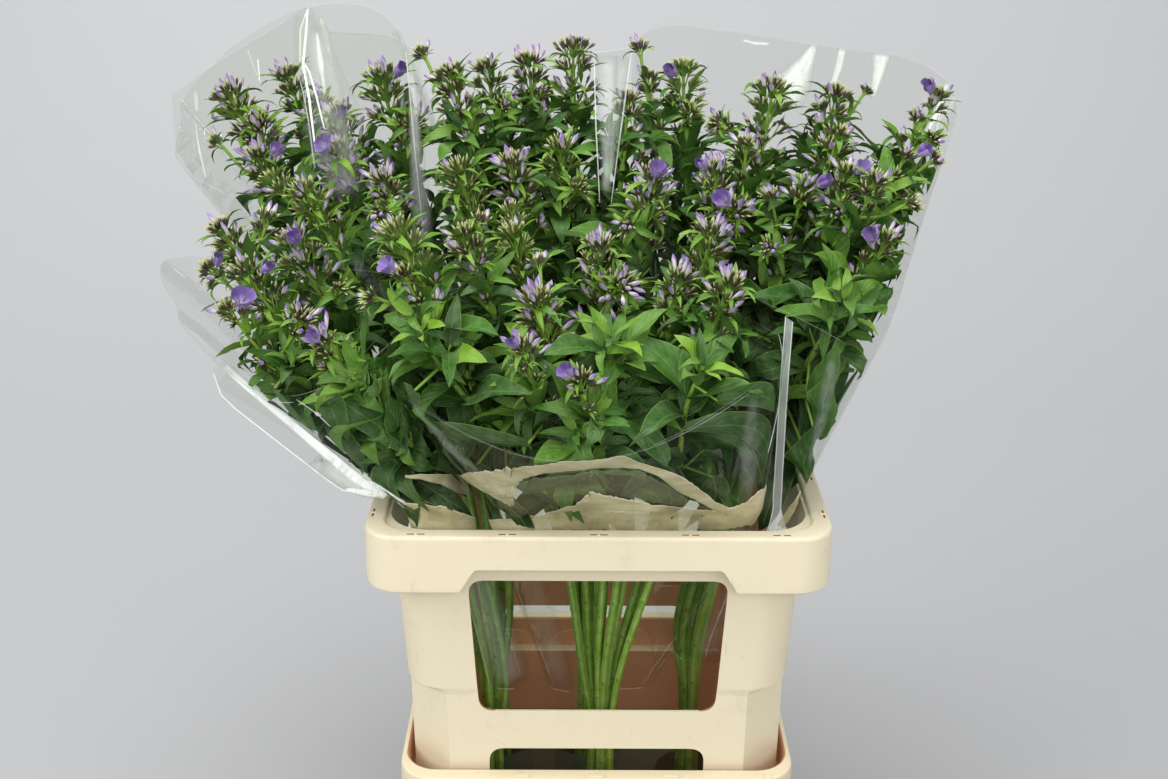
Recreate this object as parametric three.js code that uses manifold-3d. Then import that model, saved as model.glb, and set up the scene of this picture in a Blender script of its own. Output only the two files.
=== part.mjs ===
// Bunches of cut garden phlox in clear sleeves, standing in a flower bucket with a tall collar.
// Millimetres, +Z up. The origin is the middle of the bucket's flat base, and -Y is the front.

import * as THREE from "three";
import { mergeVertices } from "three/addons/utils/BufferGeometryUtils.js";
import Module from "manifold-3d";

const wasm = await Module();
wasm.setup();

// ---------------------------------------------------------------- driving dimensions

const GAP = 0.3; // between pieces that touch
const SMALLEST = 0.05; // slivers thinner than this are smoothed away

const COLLAR_TOP = 448; // height of the collar's rim above the base
const COLLAR_FOOT = 165; // the collar's lower edge, on a ledge inside the bucket
const RIM_HALF = [200, 161.5]; // half width and half depth over the collar's rim
const SKIRT_DROP = 54; // how far the rim's skirt hangs down
const NOTCH_DROP = 31; // the skirt over each window ends this far below the rim
const STEP_HEIGHT = 279; // the round corners stop here, and chamfers go on below

const WINDOW = { top: 394, bottom: 257.5, topHalf: 113, bottomHalf: 106, corner: 14 };
const SIDE_WINDOW = { top: 394, bottom: 257.5, topHalf: 78, bottomHalf: 72, corner: 14 };
const CUTOUT = { top: 217, half: 98, corner: 14 };

const BUCKET_RIM = 198; // height of the bucket's rim
const BUCKET_WALL = 3;
const WATER_DEPTH = 96;
const WATER_HOLE = 34; // radius of the hole that each bunch stands in

const FILM = 1; // thickness of a sleeve
const STEM_RADIUS = 3.8;
const STALK_RADIUS = 3.2; // the stalk inside a flower head
const BRANCH_RADIUS = 2.4; // the side shoots of a flower head
const BUNDLE_TOP = 215; // the stems of a bunch press together below this height
const BUNDLE_RADIUS = 15;
const LEAF_FOOT = 3; // height of a leaf's foot on the stem
const RIM_SPREAD = 0.53; // the stems spread over this part of the sleeve at the collar's rim
const AIM_HEIGHT = 330; // flower heads point away from their bunch at this height

// Pairs of opposite leaves: how far each stands below the flower head, its length and width,
// and the stations of its outline as [distance out, width, height] in parts of those.
const SHORT = [[0.5, 1, 0.42], [1, 0, 0.3]];
const LONG = [[0.38, 1, 0.3], [0.72, 0.7, 0.36], [1, 0, 0.16]];
const LEAF_PAIRS = [
  { below: 14, length: 52, width: 19, stations: SHORT },
  { below: 66, length: 92, width: 30, stations: LONG },
];
const SHOOT_PAIRS = [
  { below: 6, length: 30, width: 15, stations: SHORT },
  { below: 26, length: 52, width: 20, stations: SHORT },
  { below: 76, length: 88, width: 28, stations: LONG },
];
const ROOM_ROUND_LEAF = 12; // a leaf's midrib keeps this far from stems, buds and other leaves
const MOST_CROSSINGS = 4; // a pair of leaves that would cross more than this is left out
const TURNS = 9; // ways that a pair of leaves is tried round its stem

const SMALL_CLUSTER = 21.5; // clusters of buds with a smaller radius than this have fewer buds
const BUD_REACH = 0.86; // the shortest bud's length over the cluster's radius
const BUD_SPREAD = 0.16; // and what the longest bud has more
const BUD_FOOT = 0.5; // radius of the cluster's core, where the buds stand
const NECK = 0.62; // where the stalk begins under the core
const HEAD_ROOM = 1.3; // leaves stay this far outside a cluster, over its radius
const ROOM_ROUND_STALK = 1;

// ---------------------------------------------------------------- the five bunches

// A sleeve's outline is given by four corners [x, y, z] in the order front left, front right,
// back right, back left, at its lower end, at the collar's rim and at its mouth. lift moves
// the middle of each side of the mouth up or down, in the order front, right, back, left.
// A flower head is a list of bud clusters [x, y, z, radius], the top one first, and a shoot is
// a head that is still all leaf.
const BUNCHES = [
  {
    name: "front",
    foot: [5, -62],
    lower: [[-47, -110, 262], [57, -110, 268], [50, -14, 276], [-45, -14, 270]],
    rim: [[-109, -134, 452], [127, -134, 452], [66, -4, 452], [-77, -4, 452]],
    mouth: [[-194, -190, 602], [168, -192, 624], [78, -14, 622], [-138, -14, 622]],
    lift: [-108, 0, 0, 0],
    heads: [
      [[-165, -75, 675, 26]],
      [[-158, -110, 655, 15], [-180, -125, 645, 13]],
      [[-112, -62, 672, 20], [-102, -38, 680, 14]],
      [[-72, -47, 668, 21], [-75, -20, 682, 18]],
      [[-50, -120, 632, 25], [-50, -77, 655, 12]],
      [[-60, -162, 610, 18]],
      [[-15, -180, 592, 17]],
      [[0, -63, 662, 22], [15, -92, 645, 21]],
      [[65, -85, 642, 20]],
      [[104, -108, 646, 20]],
      [[92, -58, 672, 23]],
    ],
    shoots: [[-145, -140, 618, 13], [10, -137, 615, 15], [82, -158, 600, 17]],
  },
  {
    name: "front_left",
    foot: [-98, -62],
    lower: [[-142, -112, 270], [-64, -112, 266], [-60, -16, 272], [-142, -16, 276]],
    rim: [[-169, -127, 452], [-116, -134, 452], [-83, -4, 452], [-176, -4, 452]],
    mouth: [[-322, -170, 616], [-202, -192, 598], [-150, -16, 632], [-396, -16, 652]],
    lift: [-32, 0, 0, 0],
    heads: [
      [[-318, -44, 672, 20], [-288, -30, 678, 17]],
      [[-285, -105, 652, 24], [-316, -100, 657, 16]],
      [[-252, -64, 662, 28], [-218, -92, 642, 14]],
      [[-295, -138, 634, 16], [-243, -142, 628, 18]],
      [[-218, -152, 612, 20]],
    ],
    shoots: [[-196, -160, 598, 14]],
  },
  {
    name: "back_left",
    foot: [-100, 60],
    lower: [[-142, 14, 270], [-64, 14, 274], [-62, 106, 268], [-142, 106, 264]],
    rim: [[-176, 4, 452], [-80, 4, 452], [-47, 134, 452], [-171, 129, 452]],
    mouth: [[-372, -2, 716], [-150, 0, 632], [-170, 152, 838], [-398, 152, 768]],
    lift: [0, -95, 35, 0],
    heads: [
      [[-335, 100, 757, 26], [-308, 78, 737, 22]],
      [[-286, 116, 773, 22], [-258, 102, 752, 20]],
      [[-300, 32, 717, 21], [-338, 48, 731, 15]],
      [[-233, 66, 746, 23]],
      [[-198, 106, 771, 27], [-172, 76, 742, 20]],
      [[-227, 22, 721, 25]],
      [[-252, -12, 697, 22], [-281, -2, 707, 17]],
      [[-186, -6, 706, 20], [-186, -34, 692, 15]],
    ],
    shoots: [],
  },
  {
    name: "back",
    foot: [-8, 60],
    lower: [[-52, 16, 274], [40, 16, 270], [35, 106, 266], [-50, 106, 270]],
    rim: [[-74, 4, 452], [62, 4, 452], [0, 134, 452], [-43, 134, 452]],
    mouth: [[-139, -4, 632], [66, -4, 632], [-8, 150, 742], [-142, 150, 742]],
    lift: [0, -40, 0, -40],
    heads: [
      [[-130, 42, 787, 22], [-155, 66, 807, 12]],
      [[-100, 78, 787, 21], [-86, 50, 765, 15]],
      [[-64, 108, 787, 23]],
      [[-24, 134, 792, 27]],
      [[-120, 0, 712, 23]],
      [[-75, 10, 716, 22]],
      [[-34, 38, 722, 24], [-20, 10, 702, 17]],
      [[45, -2, 706, 24], [26, -34, 682, 13]],
      [[25, 58, 765, 18]],
    ],
    shoots: [],
  },
  {
    name: "right",
    foot: [95, 5],
    lower: [[72, -62, 268], [137, -62, 262], [137, 72, 268], [54, 72, 274]],
    rim: [[136, -134, 452], [171, -128, 452], [171, 128, 452], [8, 134, 452]],
    mouth: [[177, -192, 640], [218, -176, 606], [356, 142, 790], [0, 152, 838]],
    lift: [0, 0, 0, -105],
    heads: [
      [[46, 104, 777, 16], [38, 110, 804, 15]],
      [[78, 110, 779, 24], [82, 84, 752, 16]],
      [[154, 74, 766, 27], [112, 58, 750, 16]],
      [[130, 32, 731, 17]],
      [[101, 4, 711, 22], [116, -26, 692, 20]],
      [[176, -5, 702, 17], [150, -12, 697, 13], [145, -50, 667, 13]],
      [[213, 84, 761, 24], [242, 94, 772, 8]],
      [[210, 40, 736, 21]],
      [[214, 0, 711, 20], [203, -26, 692, 15]],
      [[305, 82, 766, 17], [286, 66, 751, 12], [296, 48, 740, 13]],
      [[266, 16, 727, 12], [288, 12, 727, 12]],
      [[230, -40, 716, 18], [254, -56, 706, 15]],
      [[238, -62, 672, 18]],
    ],
    shoots: [[200, -104, 637, 14]],
  },
];

// ---------------------------------------------------------------- small tools

const vector = (p) => new THREE.Vector3(...p);

// A number from 0 to 1 that is always the same for the same two whole numbers.
function draw(index, salt) {
  const s = Math.sin(index * 12.9898 + salt * 78.233) * 43758.5453;
  return s - Math.floor(s);
}

// A closed geometry as a solid for cutting and joining, and back.
function solid(geometry) {
  const bare = new THREE.BufferGeometry();
  bare.setAttribute("position", geometry.getAttribute("position"));
  if (geometry.index) bare.setIndex(geometry.index);
  const merged = mergeVertices(bare, 1e-4);
  return new wasm.Manifold(
    new wasm.Mesh({
      numProp: 3,
      vertProperties: new Float32Array(merged.attributes.position.array),
      triVerts: new Uint32Array(merged.index.array),
    }),
  );
}

function geometryOf(made) {
  const mesh = made.getMesh();
  const geometry = new THREE.BufferGeometry();
  geometry.setAttribute("position", new THREE.BufferAttribute(mesh.vertProperties, 3));
  geometry.setIndex(new THREE.BufferAttribute(mesh.triVerts, 1));
  return geometry;
}

const join = (solids) => wasm.Manifold.union(solids);

// The largest of the bodies that a cut leaves.
function largest(made) {
  const bodies = made.decompose();
  return bodies.reduce((a, b) => (a.volume() > b.volume() ? a : b));
}

// A surface through rings of points, either joined end to start or capped at both ends. Its
// four-sided patches are split along one diagonal, and from the strip crossFrom the other one.
function loft(rings, ringed, crossFrom = Infinity) {
  const count = rings[0].length;
  const points = rings.flat();
  const index = [];
  const last = ringed ? rings.length : rings.length - 1;
  for (let r = 0; r < last; r++) {
    const s = (r + 1) % rings.length;
    for (let i = 0; i < count; i++) {
      const j = (i + 1) % count;
      const [a, b, c, d] = [r * count + i, r * count + j, s * count + j, s * count + i];
      if (r < crossFrom) index.push(a, b, c, a, c, d);
      else index.push(a, b, d, b, c, d);
    }
  }
  if (!ringed) {
    const middle = (ring) => [0, 1, 2].map((k) => ring.reduce((sum, p) => sum + p[k], 0) / count);
    points.push(middle(rings[0]), middle(rings.at(-1)));
    const start = points.length - 2;
    const end = points.length - 1;
    const top = (rings.length - 1) * count;
    for (let i = 0; i < count; i++) {
      const j = (i + 1) % count;
      index.push(start, j, i);
      index.push(end, top + i, top + j);
    }
  }
  const geometry = new THREE.BufferGeometry();
  geometry.setAttribute("position", new THREE.Float32BufferAttribute(points.flat(), 3));
  geometry.setIndex(index);
  return geometry;
}

// A straight bar with a few sides from one point to another.
function tube(points, radius, sides) {
  const section = new THREE.Shape();
  for (let i = 0; i < sides; i++) {
    const angle = (i / sides) * 2 * Math.PI;
    if (i === 0) section.moveTo(radius, 0);
    else section.lineTo(radius * Math.cos(angle), radius * Math.sin(angle));
  }
  const path = new THREE.LineCurve3(...points.map(vector));
  return new THREE.ExtrudeGeometry(section, { steps: 1, bevelEnabled: false, extrudePath: path });
}

// ---------------------------------------------------------------- collar and bucket

const CORNER_STEPS = 3;

// One level of the collar or bucket: a rectangle whose corners are arcs, or straight chamfers.
function level(halfX, halfY, corner, z, chamfered) {
  const ring = [];
  for (const [sx, sy, start] of [[1, -1, -90], [1, 1, 0], [-1, 1, 90], [-1, -1, 180]]) {
    const cx = sx * (halfX - corner);
    const cy = sy * (halfY - corner);
    for (let i = 0; i <= CORNER_STEPS; i++) {
      const part = i / CORNER_STEPS;
      const angle = THREE.MathUtils.degToRad(start + part * 90);
      const from = THREE.MathUtils.degToRad(start);
      const arc = [Math.cos(angle), Math.sin(angle)];
      const flat = [
        Math.cos(from) * (1 - part) - Math.sin(from) * part,
        Math.sin(from) * (1 - part) + Math.cos(from) * part,
      ];
      const [dx, dy] = chamfered ? flat : arc;
      ring.push([cx + corner * dx, cy + corner * dy, z]);
    }
  }
  return ring;
}

// A prism with rounded corners that stands across a wall: its outline is in the wall's plane.
function wallCutter(outline, corner, depth, acrossX) {
  const shape = new THREE.Shape();
  const count = outline.length;
  outline.forEach((point, i) => {
    const here = new THREE.Vector2(...point);
    const before = new THREE.Vector2(...outline[(i + count - 1) % count]);
    const after = new THREE.Vector2(...outline[(i + 1) % count]);
    const enter = here.clone().add(before.sub(here).setLength(corner));
    const leave = here.clone().add(after.sub(here).setLength(corner));
    if (i === 0) shape.moveTo(enter.x, enter.y);
    else shape.lineTo(enter.x, enter.y);
    shape.quadraticCurveTo(here.x, here.y, leave.x, leave.y);
  });
  const options = { depth: 2 * depth, bevelEnabled: false, curveSegments: 3 };
  const geometry = new THREE.ExtrudeGeometry(shape, options);
  geometry.translate(0, 0, -depth);
  geometry.rotateX(Math.PI / 2);
  if (acrossX) geometry.rotateZ(Math.PI / 2);
  return solid(geometry);
}

function windowOutline(w) {
  return [[-w.bottomHalf, w.bottom], [w.bottomHalf, w.bottom], [w.topHalf, w.top], [-w.topHalf, w.top]];
}

// The collar: a tapered wall on a folded-down rim, with a window in each side and a cut-out at
// the foot of the front and back.
function makeCollar() {
  const top = COLLAR_TOP;
  const step = STEP_HEIGHT;
  const foot = COLLAR_FOOT + GAP;
  const skirt = top - SKIRT_DROP;
  const [x, y] = RIM_HALF;
  const rings = [
    level(170, 130, 36, foot, true),
    level(171, 132, 36, step - 4, true),
    level(172.6, 134, 37, step + 4, false),
    level(178.6, 138, 36, skirt, false),
    level(180.4, 140, 36, top - 4, false),
    level(x - 3.5, y - 3.5, 28, top - 4, false),
    level(x - 3, y - 3, 29, skirt + 4, false),
    level(x - 1.5, y - 1.5, 30, skirt, false),
    level(x + 0.5, y + 0.5, 32, skirt + 5, false),
    level(x, y, 30, top - 3, false),
    level(x - 3, y - 3, 27, top, false),
    level(x - 16, y - 15, 24, top, false),
    level(177.2, 137, 33, top - 14, false),
    level(175.6, 135, 33, skirt, false),
    level(169.6, 131, 34, step + 2, false),
    level(168.2, 129.4, 34, step - 6, true),
    level(167, 127, 34, foot, true),
  ];
  const front = wallCutter(windowOutline(WINDOW), WINDOW.corner, 150, false);
  const sides = wallCutter(windowOutline(SIDE_WINDOW), SIDE_WINDOW.corner, 190, true);
  const half = CUTOUT.half;
  const below = COLLAR_FOOT - 40;
  const arch = [[-half, below], [half, below], [half, CUTOUT.top], [-half, CUTOUT.top]];
  const cutouts = wallCutter(arch, CUTOUT.corner, 150, false);
  let made = solid(loft(rings, true)).subtract(front).subtract(sides).subtract(cutouts);
  // The skirt is cut back over each window, and the wall behind it stays whole.
  const notchTop = top - NOTCH_DROP;
  for (const turn of [0, 1, 2, 3]) {
    const across = turn % 2 ? 70 : 105;
    const reach = turn % 2 ? RIM_HALF[0] : RIM_HALF[1];
    const notch = new THREE.Shape();
    notch.moveTo(-across - 18, skirt - 4);
    notch.lineTo(across + 18, skirt - 4);
    notch.lineTo(across, notchTop);
    notch.lineTo(-across, notchTop);
    const geometry = new THREE.ExtrudeGeometry(notch, { depth: 16, bevelEnabled: false });
    geometry.rotateX(Math.PI / 2);
    geometry.translate(0, -reach + 12, 0);
    geometry.rotateZ((turn * Math.PI) / 2);
    made = made.subtract(solid(geometry));
  }
  return geometryOf(largest(made));
}

// The bucket: tapered, with a ledge inside that carries the collar and a broad folded rim.
function makeBucket() {
  const rim = BUCKET_RIM;
  const wall = BUCKET_WALL;
  const rings = [
    level(142, 104, 30, 0, false),
    level(164, 125, 34, 150, false),
    level(178, 138, 36, 163, false),
    level(178, 140, 36, rim - 26, false),
    level(181, 151, 34, rim - 24, false),
    level(180.5, 150.5, 32, rim - 3, false),
    level(178, 148, 30, rim, false),
    level(174.5, 135, 30, rim, false),
    level(174, 134.5, 30, COLLAR_FOOT, false),
    level(162, 121, 32, COLLAR_FOOT, false),
    level(164 - wall, 125 - wall, 32, 150, false),
    level(142 - wall, 104 - wall, 28, wall, false),
  ];
  return loft(rings, false);
}

// The water: it fills the foot of the bucket, with a plain hole for each bunch of stems.
function makeWater() {
  const floor = BUCKET_WALL + GAP;
  const grow = WATER_DEPTH / 150;
  const halfX = 142 + 22 * grow - BUCKET_WALL - 2 * GAP;
  const halfY = 104 + 21 * grow - BUCKET_WALL - 2 * GAP;
  const rings = [
    level(142 - BUCKET_WALL - GAP, 104 - BUCKET_WALL - GAP, 28, floor, false),
    level(halfX, halfY, 30, WATER_DEPTH, false),
  ];
  const holes = BUNCHES.map((bunch) => {
    const hole = new THREE.CylinderGeometry(WATER_HOLE, WATER_HOLE, 2 * WATER_DEPTH, 12);
    hole.rotateX(Math.PI / 2);
    hole.translate(...bunch.foot, WATER_DEPTH / 2);
    return solid(hole);
  });
  return geometryOf(solid(loft(rings, false)).subtract(join(holes)));
}

// The bare card on the front of the bucket.
function makeLabel() {
  const card = new THREE.BoxGeometry(98, 0.6, 21);
  card.translate(-4, -152.2, BUCKET_RIM - 13);
  return card;
}

// ---------------------------------------------------------------- sleeves

const OUTLINE_POINTS = 16;

// The mouth or another outline of a sleeve as a smooth ring through eight guides: the four
// corners and the middles of the four sides.
function sleeveRing(corners, lift, inset) {
  const guides = [];
  corners.forEach((corner, i) => {
    const next = corners[(i + 1) % 4];
    const middle = corner.map((value, k) => (value + next[k]) / 2);
    middle[2] += lift[i];
    guides.push(corner, middle);
  });
  const ring = [];
  const per = OUTLINE_POINTS / guides.length;
  for (let i = 0; i < guides.length; i++) {
    const before = guides[(i + 7) % 8];
    const here = guides[i];
    const after = guides[(i + 1) % 8];
    for (let j = 0; j < per; j++) {
      const t = (j + 0.5) / per;
      const a = 0.5 * (1 - t) * (1 - t);
      const c = 0.5 * t * t;
      ring.push(here.map((value, k) => a * before[k] + (1 - a - c) * value + c * after[k]));
    }
  }
  const cx = ring.reduce((sum, p) => sum + p[0], 0) / ring.length;
  const cy = ring.reduce((sum, p) => sum + p[1], 0) / ring.length;
  return ring.map(([px, py, pz]) => {
    const away = Math.hypot(px - cx, py - cy);
    const keep = 1 - inset / away;
    return [cx + (px - cx) * keep, cy + (py - cy) * keep, pz];
  });
}

const LEVEL = [0, 0, 0, 0];

function sleeveRings(bunch, inset) {
  return [
    sleeveRing(bunch.lower, LEVEL, inset),
    sleeveRing(bunch.rim, LEVEL, inset),
    sleeveRing(bunch.mouth, bunch.lift, inset),
  ];
}

function makeSleeve(bunch) {
  const outside = sleeveRings(bunch, 0);
  const inside = sleeveRings(bunch, FILM * 1.3).reverse();
  return loft([...outside, ...inside], true, outside.length);
}

// The room inside a sleeve, carried on upwards past the mouth and down to the bucket's floor.
function sleeveRoom(bunch) {
  const inset = FILM * 1.3 + 2 * GAP;
  const [lower, rim, mouth] = sleeveRings(bunch, inset);
  const ceiling = rim.map((from, i) => {
    const to = mouth[i];
    const t = (900 - from[2]) / (to[2] - from[2]);
    return [0, 1].map((k) => from[k] + t * (to[k] - from[k])).concat(900);
  });
  const round = (z) => lower.map(([px, py]) => {
    const angle = Math.atan2(py - bunch.foot[1], px - bunch.foot[0]);
    const radius = WATER_HOLE - 2;
    return [bunch.foot[0] + radius * Math.cos(angle), bunch.foot[1] + radius * Math.sin(angle), z];
  });
  const floor = round(BUCKET_WALL + GAP);
  return solid(loft([floor, round(WATER_DEPTH + 20), lower, rim, mouth, ceiling], false));
}

// ---------------------------------------------------------------- flower heads

// Where a head's stalk starts, and the way it points: away from its own bunch.
function headAxis(bunch, clusters) {
  const aim = new THREE.Vector3(...bunch.foot, AIM_HEIGHT);
  const top = new THREE.Vector3(...clusters[0].slice(0, 3));
  const axis = top.clone().sub(aim).normalize();
  let drop = clusters[0][3] + 14;
  for (const [x, y, z, radius] of clusters.slice(1)) {
    const below = top.clone().sub(new THREE.Vector3(x, y, z)).dot(axis);
    drop = Math.max(drop, below + 0.9 * radius + 8);
  }
  return { axis, top, base: top.clone().addScaledVector(axis, -drop) };
}

// A cluster of buds on its stalk, in one skin: a small core whose corners stand out as pointed
// buds on all sides, but for the lowest corner, where the stalk leads down to its foot.
function clusterOnStalk(cluster, foot, stalk, number) {
  const [x, y, z, radius] = cluster;
  const small = radius < SMALL_CLUSTER;
  const base = small ? new THREE.OctahedronGeometry(1, 0) : new THREE.IcosahedronGeometry(1, 0);
  const fine = small ? new THREE.OctahedronGeometry(1, 1) : new THREE.IcosahedronGeometry(1, 1);
  const bare = new THREE.BufferGeometry();
  bare.setAttribute("position", fine.getAttribute("position"));
  const shape = mergeVertices(bare, 1e-3);
  const tips = base.getAttribute("position");
  const centre = new THREE.Vector3(x, y, z);
  const down = foot.clone().sub(centre).normalize();
  const corner = new THREE.Vector3().fromBufferAttribute(tips, 0).normalize();
  const turn = new THREE.Quaternion().setFromUnitVectors(corner, down);
  const spin = new THREE.Quaternion().setFromAxisAngle(down, 6 * draw(number, 1));
  const at = shape.getAttribute("position");
  const points = [];
  let lowest = 0;
  for (let i = 0; i < at.count; i++) {
    const p = new THREE.Vector3().fromBufferAttribute(at, i);
    let nearest = 0;
    for (let k = 0; k < tips.count; k++) {
      nearest = Math.max(nearest, p.dot(new THREE.Vector3().fromBufferAttribute(tips, k)));
    }
    const bud = nearest > 0.999;
    if (p.dot(corner) > 0.999) lowest = i;
    const reach = bud ? BUD_REACH + BUD_SPREAD * draw(i, number) : BUD_FOOT;
    p.setLength(radius * reach).applyQuaternion(turn).applyQuaternion(spin).add(centre);
    points.push(p);
  }
  // The corner that faces the stalk is opened, and the stalk's skin goes on from its edge.
  const index = [];
  const onward = new Map();
  for (let f = 0; f < shape.index.count; f += 3) {
    const face = [0, 1, 2].map((k) => shape.index.getX(f + k));
    const k = face.indexOf(lowest);
    if (k < 0) index.push(...face);
    else onward.set(face[(k + 1) % 3], face[(k + 2) % 3]);
  }
  const edge = [onward.keys().next().value];
  while (edge.length < onward.size) edge.push(onward.get(edge.at(-1)));
  const addRing = (middle) => edge.map((id) => {
    const out = points[id].clone().sub(centre);
    out.addScaledVector(down, -out.dot(down)).setLength(stalk);
    return points.push(out.add(middle)) - 1;
  });
  points[lowest] = foot.clone();
  const neck = addRing(centre.clone().addScaledVector(down, NECK * radius));
  const end = addRing(foot);
  for (const [from, to] of [[edge, neck], [neck, end]]) {
    from.forEach((id, i) => {
      const j = (i + 1) % from.length;
      index.push(id, from[j], to[j], id, to[j], to[i]);
    });
  }
  end.forEach((id, i) => index.push(id, end[(i + 1) % end.length], lowest));
  const geometry = new THREE.BufferGeometry();
  const flat = points.flatMap((p) => p.toArray());
  geometry.setAttribute("position", new THREE.Float32BufferAttribute(flat, 3));
  geometry.setIndex(index);
  return solid(geometry);
}

// A head's solid: its clusters on their stalks, each side cluster branching off low down.
function headSolid(bunch, clusters, number) {
  const { axis, base } = headAxis(bunch, clusters);
  const fork = base.clone().addScaledVector(axis, 5);
  return join(clusters.map((cluster, i) => (
    clusterOnStalk(cluster, i ? fork : base, i ? BRANCH_RADIUS : STALK_RADIUS, 10 * number + i)
  )));
}

// The room that leaves and stems keep free of a head.
function headRoom(bunch, clusters) {
  const { axis, base } = headAxis(bunch, clusters);
  const start = base.clone().addScaledVector(axis, -0.2 * GAP);
  const solids = [];
  clusters.forEach(([x, y, z, radius], i) => {
    const bulb = new THREE.IcosahedronGeometry(HEAD_ROOM * radius, 0);
    bulb.translate(x, y, z);
    const thick = (i ? BRANCH_RADIUS : STALK_RADIUS) + ROOM_ROUND_STALK;
    solids.push(solid(bulb), solid(tube([start.toArray(), [x, y, z]], thick, 4)));
  });
  return join(solids);
}

// ---------------------------------------------------------------- stems and leaves

const middleOf = (rows, k) => rows.reduce((sum, row) => sum + row[k], 0) / rows.length;

// The tops of a bunch's stems: under each flower head, or at the tip of a leafy shoot.
function stemEnds(bunch) {
  const headEnds = bunch.heads.map((clusters) => {
    const { axis, base } = headAxis(bunch, clusters);
    return { axis, end: base.addScaledVector(axis, -GAP), pairs: LEAF_PAIRS };
  });
  const shootEnds = bunch.shoots.map((cluster) => {
    const { axis, top } = headAxis(bunch, [cluster]);
    return { axis, end: top, pairs: SHOOT_PAIRS };
  });
  return [...headEnds, ...shootEnds];
}

// The stems of a bunch as curves. They fan out from the bundle in the same order as their
// tops, so that none crosses another.
function stemCurves(bunch) {
  const ends = stemEnds(bunch);
  const tops = ends.map(({ end }) => end.toArray());
  const centre = [middleOf(tops, 0), middleOf(tops, 1)];
  const spans = [0, 1].map((k) => Math.max(...tops.map((p) => Math.abs(p[k] - centre[k]))));
  const span = Math.hypot(...spans);
  const rimCentre = [middleOf(bunch.rim, 0), middleOf(bunch.rim, 1)];
  const rimHalf = [0.25 * (bunch.rim[1][0] + bunch.rim[2][0] - bunch.rim[0][0] - bunch.rim[3][0]),
    0.5 * (bunch.rim[2][1] - bunch.rim[0][1])];
  const rimScale = Math.min(...[0, 1].map((k) => (RIM_SPREAD * rimHalf[k]) / spans[k]));
  return ends.map(({ axis, end, pairs }) => {
    const away = [end.x - centre[0], end.y - centre[1]];
    const at = (from, scale, z) => [from[0] + scale * away[0], from[1] + scale * away[1], z];
    const route = [
      at(bunch.foot, (BUNDLE_RADIUS - 4) / span, BUNDLE_TOP - 25),
      at(bunch.foot, (BUNDLE_RADIUS + 6) / span, BUNDLE_TOP + 45),
      at(rimCentre, rimScale, COLLAR_TOP - 18),
      end.clone().addScaledVector(axis, -40).toArray(),
      end.toArray(),
    ];
    const curve = new THREE.CatmullRomCurve3(route.map(vector), false, "centripetal");
    return { curve, route, axis, pairs };
  });
}

// The lower end of a bunch, where its stems press together into one fluted bundle.
function bundle(bunch, lobes) {
  const ring = (radius, z) => {
    const points = [];
    for (let i = 0; i < 2 * lobes; i++) {
      const angle = (i / lobes) * Math.PI;
      const reach = radius - (i % 2 ? 2.2 : 0);
      points.push([
        bunch.foot[0] + reach * Math.cos(angle),
        bunch.foot[1] + reach * Math.sin(angle),
        z,
      ]);
    }
    return points;
  };
  const floor = BUCKET_WALL + 2 * GAP;
  return solid(loft([ring(22, floor), ring(BUNDLE_RADIUS, BUNDLE_TOP)], false));
}

// The midrib of each of two opposite leaves, from the stem out to its tip: the points, the
// half width there and the way across the blade.
function leafMidribs(node, along, azimuth, pair) {
  const side = new THREE.Vector3(Math.cos(azimuth), Math.sin(azimuth), 0);
  side.addScaledVector(along, -side.dot(along)).normalize();
  return [1, -1].map((hand) => pair.stations.map(([out, wide, up]) => ({
    point: node.clone().addScaledVector(side, hand * out * pair.length)
      .addScaledVector(along, up * pair.length),
    half: 0.5 * wide * pair.width,
  })));
}

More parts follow.
